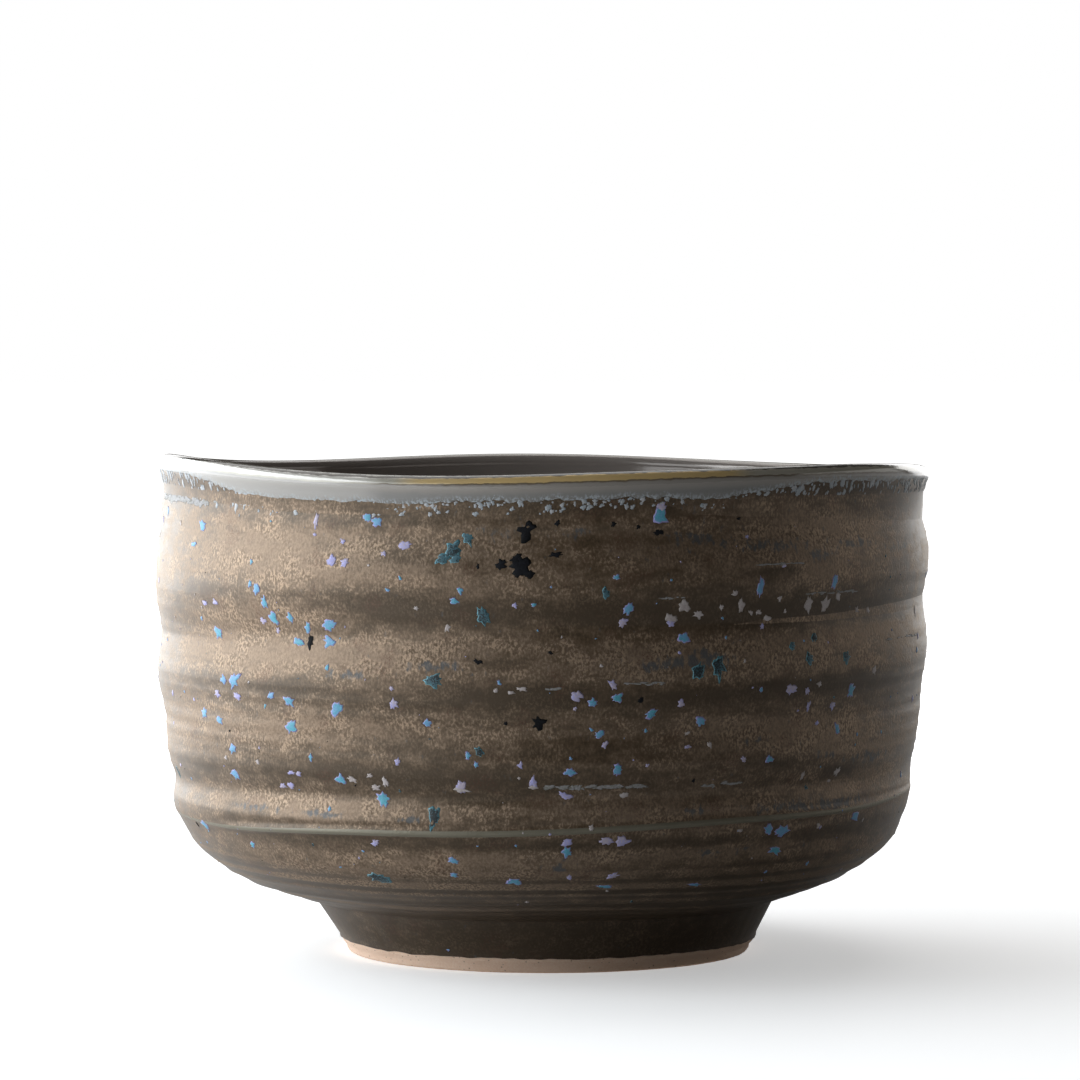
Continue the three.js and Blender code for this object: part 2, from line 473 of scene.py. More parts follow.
# %% [markdown]
# ## The lip's coat
# A second glaze was brushed over the lip. It ran down over the bronze and stopped in a ragged,
# grainy edge with small drips, lower in front than on the right. The edge is real geometry: the
# coat's lower rows follow a jagged function of the bearing, which is a slow curve plus random steps
# of three sizes. The coat lies on the bronze there, and on the clay higher up.

# %% Build the lip's coat
LIP_COLUMNS = 1320
SHALLOWEST_EDGE = 2.1 * MM
EDGE_KEYS = [
    (-180, 3.6), (-140, 3.3), (-110, 2.6), (-80, 1.7), (-66, 1.8), (-57, 2.7), (-51, 3.7),
    (-45, 4.2), (-30, 4.2), (-8, 3.7), (4, 3.5), (18, 3.9), (24, 4.2), (32, 3.4), (44, 2.3),
    (70, 2.1), (100, 2.6), (140, 3.3), (180, 3.6),
]


def from_front(bearing):
    """A bearing brought between -pi and pi, so that it is negative on the left."""
    return (bearing + np.pi) % (2 * np.pi) - np.pi


def random_steps(bearing, seed, count):
    """Random values from -1 to 1 at count even bearings, joined by straight lines."""
    knots = np.random.default_rng(seed).uniform(-1, 1, count)
    return np.interp(bearing % (2 * np.pi), np.linspace(0, 2 * np.pi, count + 1),
                     np.append(knots, knots[0]))


def lip_edge(bearing):
    """How far the lip's coat runs down: a slow curve through EDGE_KEYS, which are a bearing in
    degrees and a depth in millimetres, plus ragged steps, plus a few drips."""
    key_degrees, key_depths = np.transpose(EDGE_KEYS)
    slow = np.interp(np.degrees(from_front(bearing)), key_degrees, key_depths)
    ragged = 0.14 * random_steps(bearing, 31, 150) + 0.26 * random_steps(bearing, 32, 560)
    drips = np.maximum(random_steps(bearing, 33, 260) - 0.6, 0)
    return np.maximum((slow + ragged + 1.3 * drips) * MM, SHALLOWEST_EDGE)


lip_bearings = all_round(LIP_COLUMNS)
lip_start = outside_at(LIP - lip_edge(lip_bearings))
lip_end = inside_at(LIP - 4.6 * MM) + 0 * lip_bearings
lip_along, lip_depth = stadium(
    lip_start, lip_end, GLAZE, np.linspace(0, 1, 44), np.linspace(0, 1, 8), end_rows=3)
over_bronze = 1 - between(lip_along, outside_at(LIP - 2.2 * MM), outside_at(LIP - 1.6 * MM))
outside_only = 1 - between(lip_along, AT_CREST, AT_CREST + 2 * MM)
lip_proud = 0.10 * MM * between(lip_along - lip_start, 0, 0.5 * MM) * outside_only + 0.02 * MM
lip_depth = lip_depth * (1 - over_bronze) - lip_proud * (lip_depth < GLAZE * 0.9)
lip_coat = swept("lip_glaze_coat", lip_along, lip_depth, LIP_COLUMNS)
finish_piece(lip_coat, "lip_glaze")

# %% [markdown]
# ## The inner glaze, the clay and the foot
# The inside has its own dark coat, down to the pool in the middle of the floor. The clay wall
# is hidden between the coats. The foot ring shows as a bare band under the glaze's edge, and the
# hollow inside the foot has a coat of its own.

# %% Build the inner coat and the clay wall
INNER_COLUMNS = 400
inner_start = inside_at(LIP - 4.2 * MM)
inner_rows = np.linspace(0, 1, 120)[:, None]
back_rows = np.linspace(1, 0, 24)[:, None]
round_end = np.linspace(0, np.pi, 6)[1:-1, None]
inner_length = LINE_END - inner_start - GLAZE / 2
inner_along = np.concatenate([
    inner_start + GLAZE / 2 + back_rows * inner_length,
    inner_start + GLAZE / 2 * (1 - np.sin(round_end)),
    inner_start + GLAZE / 2 + inner_rows * inner_length,
])
inner_depth = np.concatenate([
    GLAZE + 0 * back_rows, GLAZE / 2 * (1 + np.cos(round_end)), 0 * inner_rows])
finish_piece(swept("inner_glaze_coat", inner_along, inner_depth, INNER_COLUMNS, pole=True),
             "inner_glaze")

CLAY_COLUMNS = 160
FOOT_COLUMNS = 320
CLAY_DEPTH = GLAZE + HIDDEN_GAP


def turned(bearing, radius, height):
    """Points turned about the foot's own middle, which is shifted as the skin is."""
    bearing, radius, height = np.broadcast_arrays(bearing, radius, height)
    shift = FOOT_SHIFT * (1 - between(height, 2 * MM, 14 * MM))
    return np.stack([radius * np.sin(bearing) + shift, -radius * np.cos(bearing), height], -1)


def clay_wall():
    """The wall and floor: the skin at the clay's depth, closed by a flat underside."""
    bearing = all_round(CLAY_COLUMNS)
    along = np.linspace(outside_at(FOOT_JOINT + 0.6 * MM), LINE_END, 110)[:, None] + 0 * bearing
    face = np.stack(skin(bearing, along, CLAY_DEPTH), -1)
    underside = turned(bearing, np.array([[0], [20], [33]]) * MM, FOOT_JOINT + HIDDEN_GAP)
    return closed_shell("clay_wall", np.concatenate([underside, face]), pole=True)


finish_piece(clay_wall(), "clay_body")

# %% Build the foot ring and the coat in its hollow
def foot_ring():
    """The bare foot: the skin at the clay's depth outside, a flat face below and a hollow inside,
    with rounded corners. Sand in the clay makes it uneven by a few hundredths of a millimetre."""
    bearing = all_round(FOOT_COLUMNS)
    outer_round, inner_round = 0.7 * MM, 0.6 * MM
    outer_height = np.linspace(outer_round, FOOT_JOINT, 26)[:, None]
    wall = np.stack(skin(bearing, outside_at(outer_height) + 0 * bearing, CLAY_DEPTH), -1)
    edge = np.hypot(wall[:1, :, 0] - FOOT_SHIFT, wall[:1, :, 1])
    face_start, face_end = HOLLOW + inner_round, edge - 1.15 * outer_round
    across = np.linspace(0, 1, 8)[:-1, None]
    face = turned(bearing, face_start + across * (face_end - face_start), 0)
    corner = np.linspace(0, np.pi / 2, 6)[:-1, None]
    outer_corner = turned(bearing, face_end + outer_round * np.sin(corner),
                          outer_round * (1 - np.cos(corner)))
    corner = corner[1:]
    inner_corner = turned(bearing, HOLLOW + inner_round * (1 - np.sin(corner)),
                          inner_round * (1 - np.cos(corner)))[::-1]
    hollow = turned(bearing, HOLLOW - 0.25 * MM,
                    np.linspace(FOOT_JOINT, outer_round, 10)[:, None])
    points = np.concatenate([face, outer_corner, wall, hollow, inner_corner])
    sand = ripples(bearing, points[..., 2], 41, 150, (0.8 * MM, 3 * MM), 30)
    away = 1 + 0.035 * MM * sand / np.hypot(points[..., 0], points[..., 1])
    points[..., :2] *= away[..., None]
    return closed_shell("bare_foot_ring", points)


def hollow_coat():
    """The glaze inside the foot: a ceiling with a faint trimming spiral and a low knob, and a skirt
    that ends above the foot's face in a wavy hem."""
    bearing = all_round(FOOT_COLUMNS)
    wall, ceiling, fillet_size = HOLLOW - 0.3 * MM, FOOT_JOINT - GLAZE, 1.1 * MM
    flat_end = wall - GLAZE - fillet_size
    radii = np.linspace(0, flat_end, 48)[:, None]
    spiral = 0.10 * MM * np.cos(2 * np.pi * radii / (3.2 * MM) - bearing) * between(radii, 0, 4 * MM)
    knob = 0.9 * MM * bump(radii, 5 * MM)
    below = turned(bearing, radii, ceiling + spiral - knob)
    bend = np.linspace(0, np.pi / 2, 7)[1:, None]
    fillet = turned(bearing, flat_end + fillet_size * np.sin(bend),
                    ceiling - fillet_size * (1 - np.cos(bend)))
    hem = 2.2 * MM + 0.25 * MM * ripples(bearing, 0, 42, 9, (1, 2))
    skirt_rows = np.linspace(1, 0, 10)[1:, None]
    skirt = turned(bearing, wall - GLAZE, hem + skirt_rows * (ceiling - fillet_size - hem))
    back = turned(bearing, wall, hem + np.array([[0.05], [0.5], [1.0]]) * (FOOT_JOINT - hem))
    top = turned(bearing, np.array([[15], [0]]) * MM, FOOT_JOINT)
    return closed_shell("foot_hollow_glaze", np.concatenate([below, fillet, skirt, back, top]),
                        pole=True)


finish_piece(foot_ring(), "foot_ring")
finish_piece(hollow_coat(), "foot_recess_glaze")

# %% [markdown]
# ## Crystals in the glaze
# While the kiln cools, iron and titanium in the glaze grow crystals: blue, lavender and teal
# islands with ragged outlines, black iron stars and pale frost. A texture could paint them, but
# then they would have no edge. Here each crystal is a low island of real glaze, a lens of a few
# dozen faces laid on the skin, so it follows every ring under it. A list holds the crystals that
# give this bowl its face, and seeded random ones fill in between and all round.

# %% Grow islands on the skin
ISLAND_POINTS = 20
ISLAND_RISE = 0.07 * MM


def island_outlines(count, rng, jagged):
    """Radius of each outline point: about 0.9, plus slow swells of random size, plus random
    numbers squared, which leave most of the outline low and a few spikes long."""
    angle = np.linspace(0, 2 * np.pi, ISLAND_POINTS, endpoint=False)[None, :]
    swell = sum(rng.uniform(0.02, 0.16, (count, 1)) * np.cos(k * angle + rng.uniform(0, 6.3, (count, 1)))
                for k in (2, 3, 5))
    spikes = rng.uniform(0, 1, (count, ISLAND_POINTS)) ** 2 - 0.25
    return angle, np.clip(0.9 + swell + 1.5 * jagged * spikes, 0.4, 1.9)


def islands(name, places, seed, jagged, rise=ISLAND_RISE):
    """One object of many islands. Each place is (bearing, along, half width, half height). An
    island has a middle vertex, an inner ring, an outline just under the glaze and a vertex below.
    Its tone is a random number that also slopes across the island in a random direction."""
    rng = np.random.default_rng(seed)
    bearing, along, wide, tall = np.asarray(places, float).T[:, :, None]
    count = len(places)
    angle, radius = island_outlines(count, rng, jagged)
    lean = rng.uniform(-0.3, 0.3, (count, 1))
    side = wide * radius * (np.cos(angle) + lean * np.sin(angle))
    up = tall * radius * np.sin(angle)
    share = np.array([0, 0.7, 1, 0])[:, None, None]
    height = np.array([rise, 0.8 * rise, -0.3 * rise, -2.5 * rise])[:, None, None]
    wall_radius = np.maximum(section(along)[0], 5 * MM)
    depth = -height + 0 * side
    rings = np.stack(skin(bearing + share * side / wall_radius, along + share * up, depth), -1)
    middle, inner, outline, below = rings
    points = np.concatenate([middle[:, :1], inner, outline, below[:, :1]], 1)
    n = ISLAND_POINTS
    j = np.arange(n)
    following = (j + 1) % n
    start = (np.arange(count) * (2 * n + 2))[:, None, None]
    quads = np.stack([1 + n + j, 1 + n + following, 1 + following, 1 + j], -1)[None] + start
    fans = np.concatenate([
        np.stack([0 * j, 1 + j, 1 + following], -1),
        np.stack([0 * j + 2 * n + 1, 1 + n + following, 1 + n + j], -1),
    ])[None] + start
    piece = mesh_object(name, points, quads.reshape(-1, 4), fans.reshape(-1, 3))
    across = np.cos(angle - rng.uniform(0, 2 * np.pi, (count, 1))) * radius
    even = np.zeros((count, 1))
    slope_across = np.concatenate([even, 0.7 * across, across, even], 1)
    tone = rng.uniform(0, 1, (count, 1)) + 0.45 * slope_across
    shore = np.tile(np.r_[0.0, np.full(n, 0.5), np.full(n, 1.0), 1.0], count)
    for attribute, values in (("tone", tone.ravel()), ("shore", shore)):
        piece.data.attributes.new(attribute, "FLOAT", "POINT").data.foreach_set("value", values)
    finish_piece(piece, None)


# %% [markdown]
# The list below gives the crystals one by one. A row is an island's bearing in degrees
# from the front, its height up the wall, its half width and its half height, in millimetres.

# %% Place the crystals that matter
LANDMARKS = {
    "black_iron_stars": [
        (-2.1, 67.6, 1.3, 1.5), (-2.9, 62.4, 1.6, 1.6), (-5.6, 62.8, 0.8, 0.9), (-0.4, 39.8, 1.0, 1.0),
        (16.7, 67.0, 0.8, 0.5), (2.1, 68.6, 0.4, 0.5), (10, 68.3, 0.4, 0.4), (-35, 50.8, 0.6, 1.2),
        (-8.8, 62.5, 0.2, 0.5), (1.9, 64.1, 0.9, 0.5), (-8.9, 48.7, 0.6, 0.4), (-1.6, 61.4, 0.8, 0.7),
        (-3.6, 63.6, 0.8, 0.7), (13.6, 67.8, 0.4, 0.3), (1.2, 50.0, 0.4, 0.3),
    ],
    "blue_crystals": [
        (-25.6, 69.4, 0.9, 0.7), (-23.9, 68.8, 0.9, 0.8), (-59, 66.5, 1.2, 0.9), (-61, 63.7, 1.0, 0.4),
        (-45.4, 58.9, 0.5, 0.5), (-44, 58.2, 0.7, 1.0), (-42.7, 56.3, 0.7, 0.9), (-41.5, 54.1, 0.9, 1.0),
        (-38.2, 54.2, 0.6, 0.8), (-35.3, 52.8, 0.6, 0.9), (-37.2, 50.7, 0.9, 0.9),
        (-31.4, 53.5, 1.2, 1.0), (-31.5, 50.9, 1.2, 0.9), (-55, 51.2, 1.2, 1.1), (-50.1, 44.5, 1.3, 1.2),
        (-52.8, 44.4, 0.9, 0.7), (-30.2, 41.2, 1.2, 1.1), (-38.7, 42.0, 1.0, 0.9),
        (-42.1, 42.7, 0.7, 0.7), (-38.6, 38.3, 1.1, 1.1), (-59.3, 39.1, 1.0, 0.8), (-54.7, 38.3, 0.9, 0.7),
        (-51.6, 34.3, 0.9, 0.9), (-51.9, 30.4, 1.1, 0.9), (-30.5, 30.8, 1.0, 0.9),
        (-23.8, 28.1, 1.1, 1.1), (-35.4, 33.8, 0.4, 0.6), (-19.8, 60.7, 0.3, 0.4),
        (-11.3, 59.0, 0.5, 0.6), (-12.1, 57.4, 0.7, 0.5), (-10.5, 35.0, 0.6, 0.5), (-9.3, 33.7, 0.4, 0.5),
        (-16.3, 39.6, 0.7, 0.6), (-13.4, 19.4, 0.8, 0.6), (-13.6, 17.3, 0.6, 0.6), (-4.2, 16.2, 1.2, 0.9),
        (-64.4, 21.7, 1.0, 1.0), (-50.9, 19.7, 0.6, 0.6), (16.7, 69.3, 1.2, 1.3), (10.3, 60.7, 0.6, 0.4),
        (12.1, 56.2, 0.9, 0.9), (20.2, 51.9, 0.9, 0.9), (10.6, 43.4, 0.8, 0.8), (7.1, 42.7, 0.7, 0.7),
        (15.5, 40.9, 0.9, 0.9), (23.1, 39.6, 0.9, 0.8), (8.3, 38.1, 0.8, 0.7), (48.3, 37.4, 0.8, 0.8),
        (4, 32.7, 1.0, 0.6), (10.8, 33.0, 0.7, 1.0), (34.6, 33.7, 0.7, 0.7), (3.7, 20.9, 0.8, 0.9),
        (31.9, 58.7, 0.6, 1.3), (45.9, 59.1, 0.8, 1.2), (35.8, 23.1, 1.0, 0.8), (38.6, 22.8, 1.4, 1.0),
        (38.2, 19.8, 1.2, 0.8), (55.2, 23.8, 1.2, 0.8), (10.2, 15.3, 1.2, 0.5), (25.7, 15.2, 1.0, 0.5),
        (50.9, 42.9, 0.9, 1.0), (-2.0, 4.2, 0.7, 0.6), (-29, 5.2, 0.5, 0.5), (-27, 3.8, 0.7, 0.7),
    ],
    "lavender_crystals": [
        (-19.5, 65.5, 1.2, 0.8), (-29.2, 65.8, 0.5, 0.4), (-30.6, 62.9, 1.0, 0.9), (-28.4, 62.7, 0.8, 0.7),
        (-34, 68.6, 0.5, 1.2), (-22.5, 64.2, 0.4, 0.5), (-34, 66.6, 0.4, 0.3), (-43.7, 53.5, 0.6, 0.6),
        (-41, 52.2, 0.4, 0.5), (-54.7, 42.2, 0.8, 0.6), (-49.6, 42.1, 0.9, 0.6), (-21.4, 44.6, 0.4, 0.4),
        (-21.2, 42.3, 0.8, 0.8), (-21, 33.8, 0.4, 0.7), (-39.3, 31.4, 0.9, 0.3), (-38, 31.3, 0.7, 0.4),
        (-41.7, 29.2, 0.7, 0.5), (-40, 29.4, 0.8, 0.6), (-11.7, 30.3, 0.9, 1.0), (-1.2, 31.2, 0.6, 1.0),
        (-57, 55.4, 0.7, 0.5), (-54, 55.7, 0.8, 0.5), (-25.4, 21.8, 0.7, 0.6), (16.7, 70.5, 0.9, 0.7),
        (11.3, 54.2, 0.8, 0.7), (9.9, 45.3, 0.6, 0.8), (4.8, 43.7, 1.0, 0.9), (19.9, 42.4, 0.6, 0.6),
        (9, 36.6, 0.5, 0.6), (38.1, 43.7, 1.0, 0.8), (41.2, 43.4, 0.5, 0.6), (41.7, 41.2, 0.4, 0.8),
        (46.8, 40.9, 0.8, 0.6), (43.8, 38.5, 0.4, 0.4), (30.1, 33.9, 0.5, 0.5), (15.1, 33.5, 0.3, 0.3),
        (3.4, 29.1, 0.9, 0.7), (3.7, 22.4, 0.9, 0.7), (9.5, 22.6, 1.0, 0.7), (11.9, 22.4, 1.1, 0.8),
        (11.1, 17.1, 0.8, 0.7), (21.1, 36.0, 0.6, 0.3), (32.8, 53.1, 0.4, 0.5), (18.3, 54.0, 0.6, 0.6),
    ],
    "teal_crystals": [
        (-12.5, 64.8, 1.2, 1.5), (-13.9, 63.5, 1.1, 0.8), (-10.4, 66.6, 0.9, 1.1), (-12, 63.6, 0.8, 0.8),
        (-8.1, 55.2, 1.0, 1.4), (-15.2, 45.9, 1.4, 1.1), (-8.9, 35.5, 0.7, 0.8), (-15.8, 25.9, 1.0, 1.8),
        (-26.6, 16.3, 1.9, 1.2), (8.8, 58.4, 0.6, 1.0), (22.3, 47.0, 1.2, 1.4), (25.5, 47.5, 1.1, 1.8),
        (37.9, 50.1, 0.6, 0.8), (42.2, 51.2, 0.7, 0.7), (41.2, 48.1, 0.8, 1.0), (49.1, 48.0, 0.9, 1.0),
    ],
    "pale_crystals": [
        (20.2, 56.3, 0.9, 1.0), (18.3, 54.6, 0.9, 0.7), (22.3, 55.1, 0.8, 0.6), (25.9, 56.0, 0.4, 0.5),
        (27.8, 58.0, 0.5, 0.5), (29.1, 56.2, 0.6, 1.1), (30.8, 55.1, 0.4, 0.4), (32.1, 55.1, 0.5, 0.4),
        (33.6, 54.2, 0.9, 0.5), (35.5, 57.0, 0.4, 0.5), (41, 55.9, 0.9, 1.3), (44.5, 55.8, 1.0, 1.3),
        (47, 56.9, 0.6, 0.7), (56.5, 45.6, 0.8, 0.7), (43.5, 44.3, 0.5, 0.5), (24.6, 36.2, 0.4, 0.6),
        (12, 29.1, 0.7, 0.6), (41.7, 30.8, 0.4, 0.8), (49.3, 30.9, 0.6, 0.9), (48.1, 29.5, 0.5, 0.3),
        (30.6, 23.3, 0.6, 0.3), (-28.6, 30.9, 0.8, 0.5), (-24.8, 29.8, 0.8, 0.5), (-23.2, 30.8, 0.5, 0.9),
        (-25.5, 31.6, 0.5, 0.4), (-11.7, 29.9, 1.2, 0.4), (-17.6, 56.3, 0.4, 0.3), (-6.4, 44.5, 0.4, 0.4),
        (-4.3, 44.2, 0.6, 0.3), (-2.7, 44.8, 0.7, 0.4), (-1.2, 30.4, 0.7, 0.4), (-24.6, 62.4, 0.2, 0.2),
        (-46, 32.6, 0.5, 0.4), (-53.5, 32.8, 0.5, 0.4), (52, 54.7, 0.5, 0.5), (55, 54.5, 0.6, 0.5),
    ],
}
RANDOM_COUNTS = {
    "black_iron_stars": 50, "blue_crystals": 200, "lavender_crystals": 150, "teal_crystals": 50,
    "pale_crystals": 70,
}


def scattered(count, seed):
    """Random places on the outside: many small islands and few large ones. The half width is small
    times (large/small) to the power of a random number. In front, where the listed crystals
    rule, they are less than half the size."""
    small, large = 0.12, 1.15
    rng = np.random.default_rng(seed)
    bearing = rng.uniform(-np.pi, np.pi, count)
    height = rng.uniform(12, 70, count) * MM
    wide = small * (large / small) ** (rng.uniform(0, 1, count) ** 1.3) * MM
    wide *= 1 - 0.6 * between(np.cos(bearing), 0.15, 0.45)
    tall = wide * rng.uniform(0.7, 1.5, count)
    return np.stack([bearing, outside_at(height), wide, tall], 1)


def by_hand(rows):
    """The listed rows as (bearing, along, half width, half height) in radians and metres."""
    degrees, height, wide, tall = np.array(rows, float).T
    return np.stack([np.radians(degrees), outside_at(height * MM), wide * MM, tall * MM], 1)


for seed, (name, rows) in enumerate(LANDMARKS.items(), start=51):
    places = np.concatenate([by_hand(rows), scattered(RANDOM_COUNTS[name], seed)])
    islands(name, places, seed, jagged=0.42)

# %% [markdown]
# Two more kinds belong here. Pale spatter lies just under the lip's ragged edge, where drops of
# the lip's glaze ran on. Frost is a thin pale line that grew along a crease, broken into dashes,
# and on the far left a broad patch of it lies below the lip.

# %% Add the spatter and the frost
def spatter_places(count, seed):
    """Drops below the lip's edge: how far below is a random number to the power 2.5, so most are
    close to it. On the sides they ran further and are longer."""
    rng = np.random.default_rng(seed)
    bearing = rng.uniform(-np.pi, np.pi, count)
    side = between(np.abs(np.sin(bearing)), 0.5, 0.8)
    below = lip_edge(bearing) + (0.25 + (1.6 + 1.6 * side) * rng.uniform(0, 1, count) ** 2.5) * MM
    wide = 0.13 * 3.8 ** rng.uniform(0, 1, count) * MM
    tall = wide * rng.uniform(0.7, 1.3, count) * (1 + 0.9 * side)
    return np.stack([bearing, outside_at(LIP - below), wide, tall], 1)


FROST_LINES = [
    (0, 2.7, 44.8, 9, 0.16), (11.5, 17.4, 45.4, 16, 0.16), (1, 15.5, 30.4, 60, 0.28),
    (31, 39.5, 61.9, 24, 0.13), (17, 20, 57.6, 8, 0.2), (39.5, 51, 57.5, 26, 0.18),
    (24, 26, 30.0, 7, 0.2), (27.3, 30.7, 30.3, 12, 0.2), (-80, -58, 69.7, 150, 0.42),
    (-56, -46, 70.2, 14, 0.2), (60, 75, 50.0, 16, 0.15), (120, 150, 52.0, 40, 0.2),
    (170, 200, 39.0, 40, 0.2), (215, 240, 60.5, 36, 0.2),
]


def frost_places(seed):
    """Small islands strung along level lines. A row of FROST_LINES is (first and last bearing in
    degrees, height, how many, half height)."""
    rng = np.random.default_rng(seed)
    rows = []
    for first, last, height, count, thick in FROST_LINES:
        bearing = np.radians(rng.uniform(first, last, count))
        up = height * MM + 0.5 * thick * rng.normal(0, 1, count) * MM
        wide = rng.uniform(0.2, 0.9, count) * MM
        tall = thick * rng.uniform(0.4, 1.2, count) * MM
        rows.append(np.stack([bearing, outside_at(up), wide, tall], 1))
    return np.concatenate(rows)


islands("lip_spatter", spatter_places(900, 61), 61, jagged=0.3, rise=0.05 * MM)
islands("crease_frost", frost_places(62), 62, jagged=0.35, rise=0.04 * MM)

# %% [markdown]
# ## What each point of the glaze knows
# A glaze breaks: it runs thin off a ridge and shows bronze, and it pools dark in a crease and in
# clouds of its own. The material therefore needs to know how thick the glaze lies. The mesh code
# stores that on each vertex as a number, from about -1 in a pool to 1 on a bare ridge. The ridges'
# share of it is moved up onto the flanks that face the light, which is painted light, and just
# under the lip the number is lowered, so that the glaze is darker there. The clouds that make this
# bowl's face are given in lists, and the back of the bowl has random ones.
# A cloud's row is its bearing and height, its half width in degrees, its half height in
# millimetres, and its strength.

# %% Say where the glaze is thin, where light is painted on it, and where it is slate blue
THIN_CLOUDS = [
    (-45, 64.0, 22, 4.6, 0.9), (-18, 61.0, 10, 2.0, 0.15), (-36, 48.4, 25, 2.4, 1.0),
    (-20, 50.5, 8, 2.4, 0.8), (-62, 38.0, 18, 3.4, 0.6), (40, 50.6, 16, 2.2, 0.9),
    (18, 49.4, 12, 1.6, 0.8), (42, 65.8, 14, 2.2, 1.1), (30, 38.4, 20, 1.8, 0.8),
    (48, 37.4, 12, 2.6, 0.8), (-38, 26.4, 22, 1.3, 1.0), (12, 26.6, 34, 1.2, 0.5),
    (-22, 19.0, 20, 1.8, 0.6), (14, 20.2, 24, 1.1, 0.7), (-8, 65.0, 10, 2.5, 0.3),
    (-36, 38.0, 12, 2.4, 0.5), (-4, 50.5, 10, 1.8, 0.3), (56, 20.0, 14, 1.4, 0.3),
    (-48, 53.5, 14, 2.4, 0.6), (48, 60.2, 9, 1.4, 0.7), (55, 52.0, 9, 2.0, 0.5),
    (-6, 60.0, 9, 1.0, 0.4), (4, 38.0, 10, 1.0, 0.3), (-58, 50.0, 10, 2.4, 0.5),
    (44, 28.6, 14, 0.9, 0.7), (-33, 54.8, 8, 1.4, 0.5), (-47, 45.5, 7, 1.0, 0.4),
    (-28, 32.3, 12, 1.2, 0.45), (55, 33.6, 12, 1.4, 0.5), (60, 30.0, 10, 1.2, 0.6),
    (55, 46.5, 14, 1.5, 0.4), (50, 25.0, 12, 1.0, 0.5), (42, 67.0, 12, 1.5, 0.4),
]
POOLED_CLOUDS = [
    (-16, 55.6, 12, 2.4, 1.2), (-27, 57.5, 8, 1.6, 0.7), (6, 56.0, 10, 2.0, 0.9),
    (30, 55.2, 22, 2.2, 1.5), (24, 58.8, 9, 0.9, 0.7), (34, 60.8, 5, 0.9, 1.1),
    (20, 43.4, 24, 1.8, 1.4), (42, 44.4, 12, 1.2, 1.2), (56, 44.6, 9, 1.4, 1.0),
    (-37, 44.0, 7, 1.5, 0.9), (-15, 42.6, 14, 1.2, 0.7), (-4, 43.6, 7, 1.4, 0.7),
    (-24, 31.8, 12, 2.0, 0.9), (-40, 31.6, 12, 1.5, 0.9), (-6, 34.6, 9, 1.8, 0.6),
    (6, 36.0, 8, 2.6, 0.8), (2, 31.4, 24, 1.5, 0.8), (-8, 31.0, 8, 1.4, 0.5),
    (36, 33.0, 6, 0.9, 0.9), (50, 31.0, 5, 1.2, 1.4), (-62, 31.0, 12, 1.4, 0.7),
    (10, 22.0, 44, 0.9, 0.9), (44, 18.0, 18, 0.6, 1.1), (60, 54.6, 12, 1.6, 1.0),
    (-58, 57.4, 13, 1.3, 0.6), (-60, 44.0, 12, 1.4, 0.5), (16, 60.5, 9, 1.0, 0.4),
    (6, 65.5, 9, 1.5, 0.5), (-16, 63.4, 14, 1.4, 0.5), (-5, 48.8, 9, 1.4, 0.7),
    (-8, 44.9, 8, 1.2, 0.6), (-20, 35.8, 9, 1.5, 0.5), (-10, 28.5, 10, 1.2, 0.7),
    (-42, 28.9, 8, 1.0, 0.4), (-3, 25.7, 8, 0.8, 0.6), (-22, 40.5, 8, 1.2, 0.3),
    (3, 52.6, 8, 1.2, 0.5),
]
SLATE_CLOUDS = [
    (-15, 48.0, 5, 1.0, 0.8), (-29, 46.2, 4, 0.8, 0.9), (17, 48.0, 6, 1.2, 0.8), (24, 48.8, 4, 1.6, 0.9),
    (34, 64.5, 7, 1.0, 1.0), (43, 62.8, 2.5, 0.9, 1.0), (50, 64.5, 5, 1.0, 0.9), (63, 63.5, 6, 1.0, 0.8),
    (57, 32.8, 6, 1.0, 1.0), (46, 33.5, 3, 0.8, 0.8), (-35, 25.6, 6, 0.7, 0.9), (-49, 25.8, 5, 0.7, 0.9),
    (-19, 25.4, 2.5, 0.6, 0.9), (37, 26.4, 6, 1.0, 0.65), (50, 26.2, 9, 1.0, 1.0), (23, 26.5, 2, 0.7, 0.9),
    (26, 20.2, 2, 0.8, 0.9), (44, 20.0, 2, 0.6, 0.8), (32, 20.6, 2, 0.5, 0.8), (3, 18.6, 2, 1.0, 0.8),
    (-6, 67.5, 5, 1.5, 0.5), (22, 66.0, 6, 1.4, 0.6), (4, 67.0, 5, 1.0, 0.6), (32, 36.6, 4, 0.5, 0.8),
]


def clouds(bearing, height, rows):
    """Sum of soft ellipses, each of which falls off as exp(-distance²) in its own half sizes."""
    total = 0
    for degrees, middle, wide, tall, strength in rows:
        aside = np.degrees(from_front(bearing - np.radians(degrees)))
        total = total + strength * np.exp(-((aside / wide) ** 2 + ((height / MM - middle) / tall) ** 2))
    return total


def thinness_and_lit_flank(bearing, height):
    """The listed clouds, plus the spiral's ridges, which are strong only behind and sit on the flank
    that faces the light as painted light, plus random clouds; just under the lip the glaze is made
    darker, and on the foot it is thick."""
    behind = between(-np.cos(bearing), -0.35, 0.25)
    # The ridges' share sits a radian up each ring, on the flank that faces the light: the glaze's break on
    # the ridge, moved there as painted light.
    ridge = np.cos(ring_phase(bearing, height) - 1.0)
    cloudy = ripples(bearing, height, 71, 9, (9 * MM, 26 * MM), 24)
    placed = clouds(bearing, height, THIN_CLOUDS) - clouds(bearing, height, POOLED_CLOUDS)
    # Just under the lip's coat the glaze is made darker.
    darker_under_lip = between(height, LIP - 7.5 * MM, LIP - 4.6 * MM)
    thick_foot = 1 - between(height, 12 * MM, 16 * MM)
    thin = 0.1 + placed + (0.10 + 0.6 * behind) * ridge + (0.16 + 0.34 * behind) * cloudy
    streaks = ripples(bearing, height, 73, 1, (0.8 * MM, 2.4 * MM), 16) * between(height, 7 * MM, 9 * MM)
    trimmed = 1 - between(height, 16 * MM, 19 * MM)
    return thin - 0.6 * darker_under_lip - 1.0 * thick_foot + 0.55 * trimmed * streaks


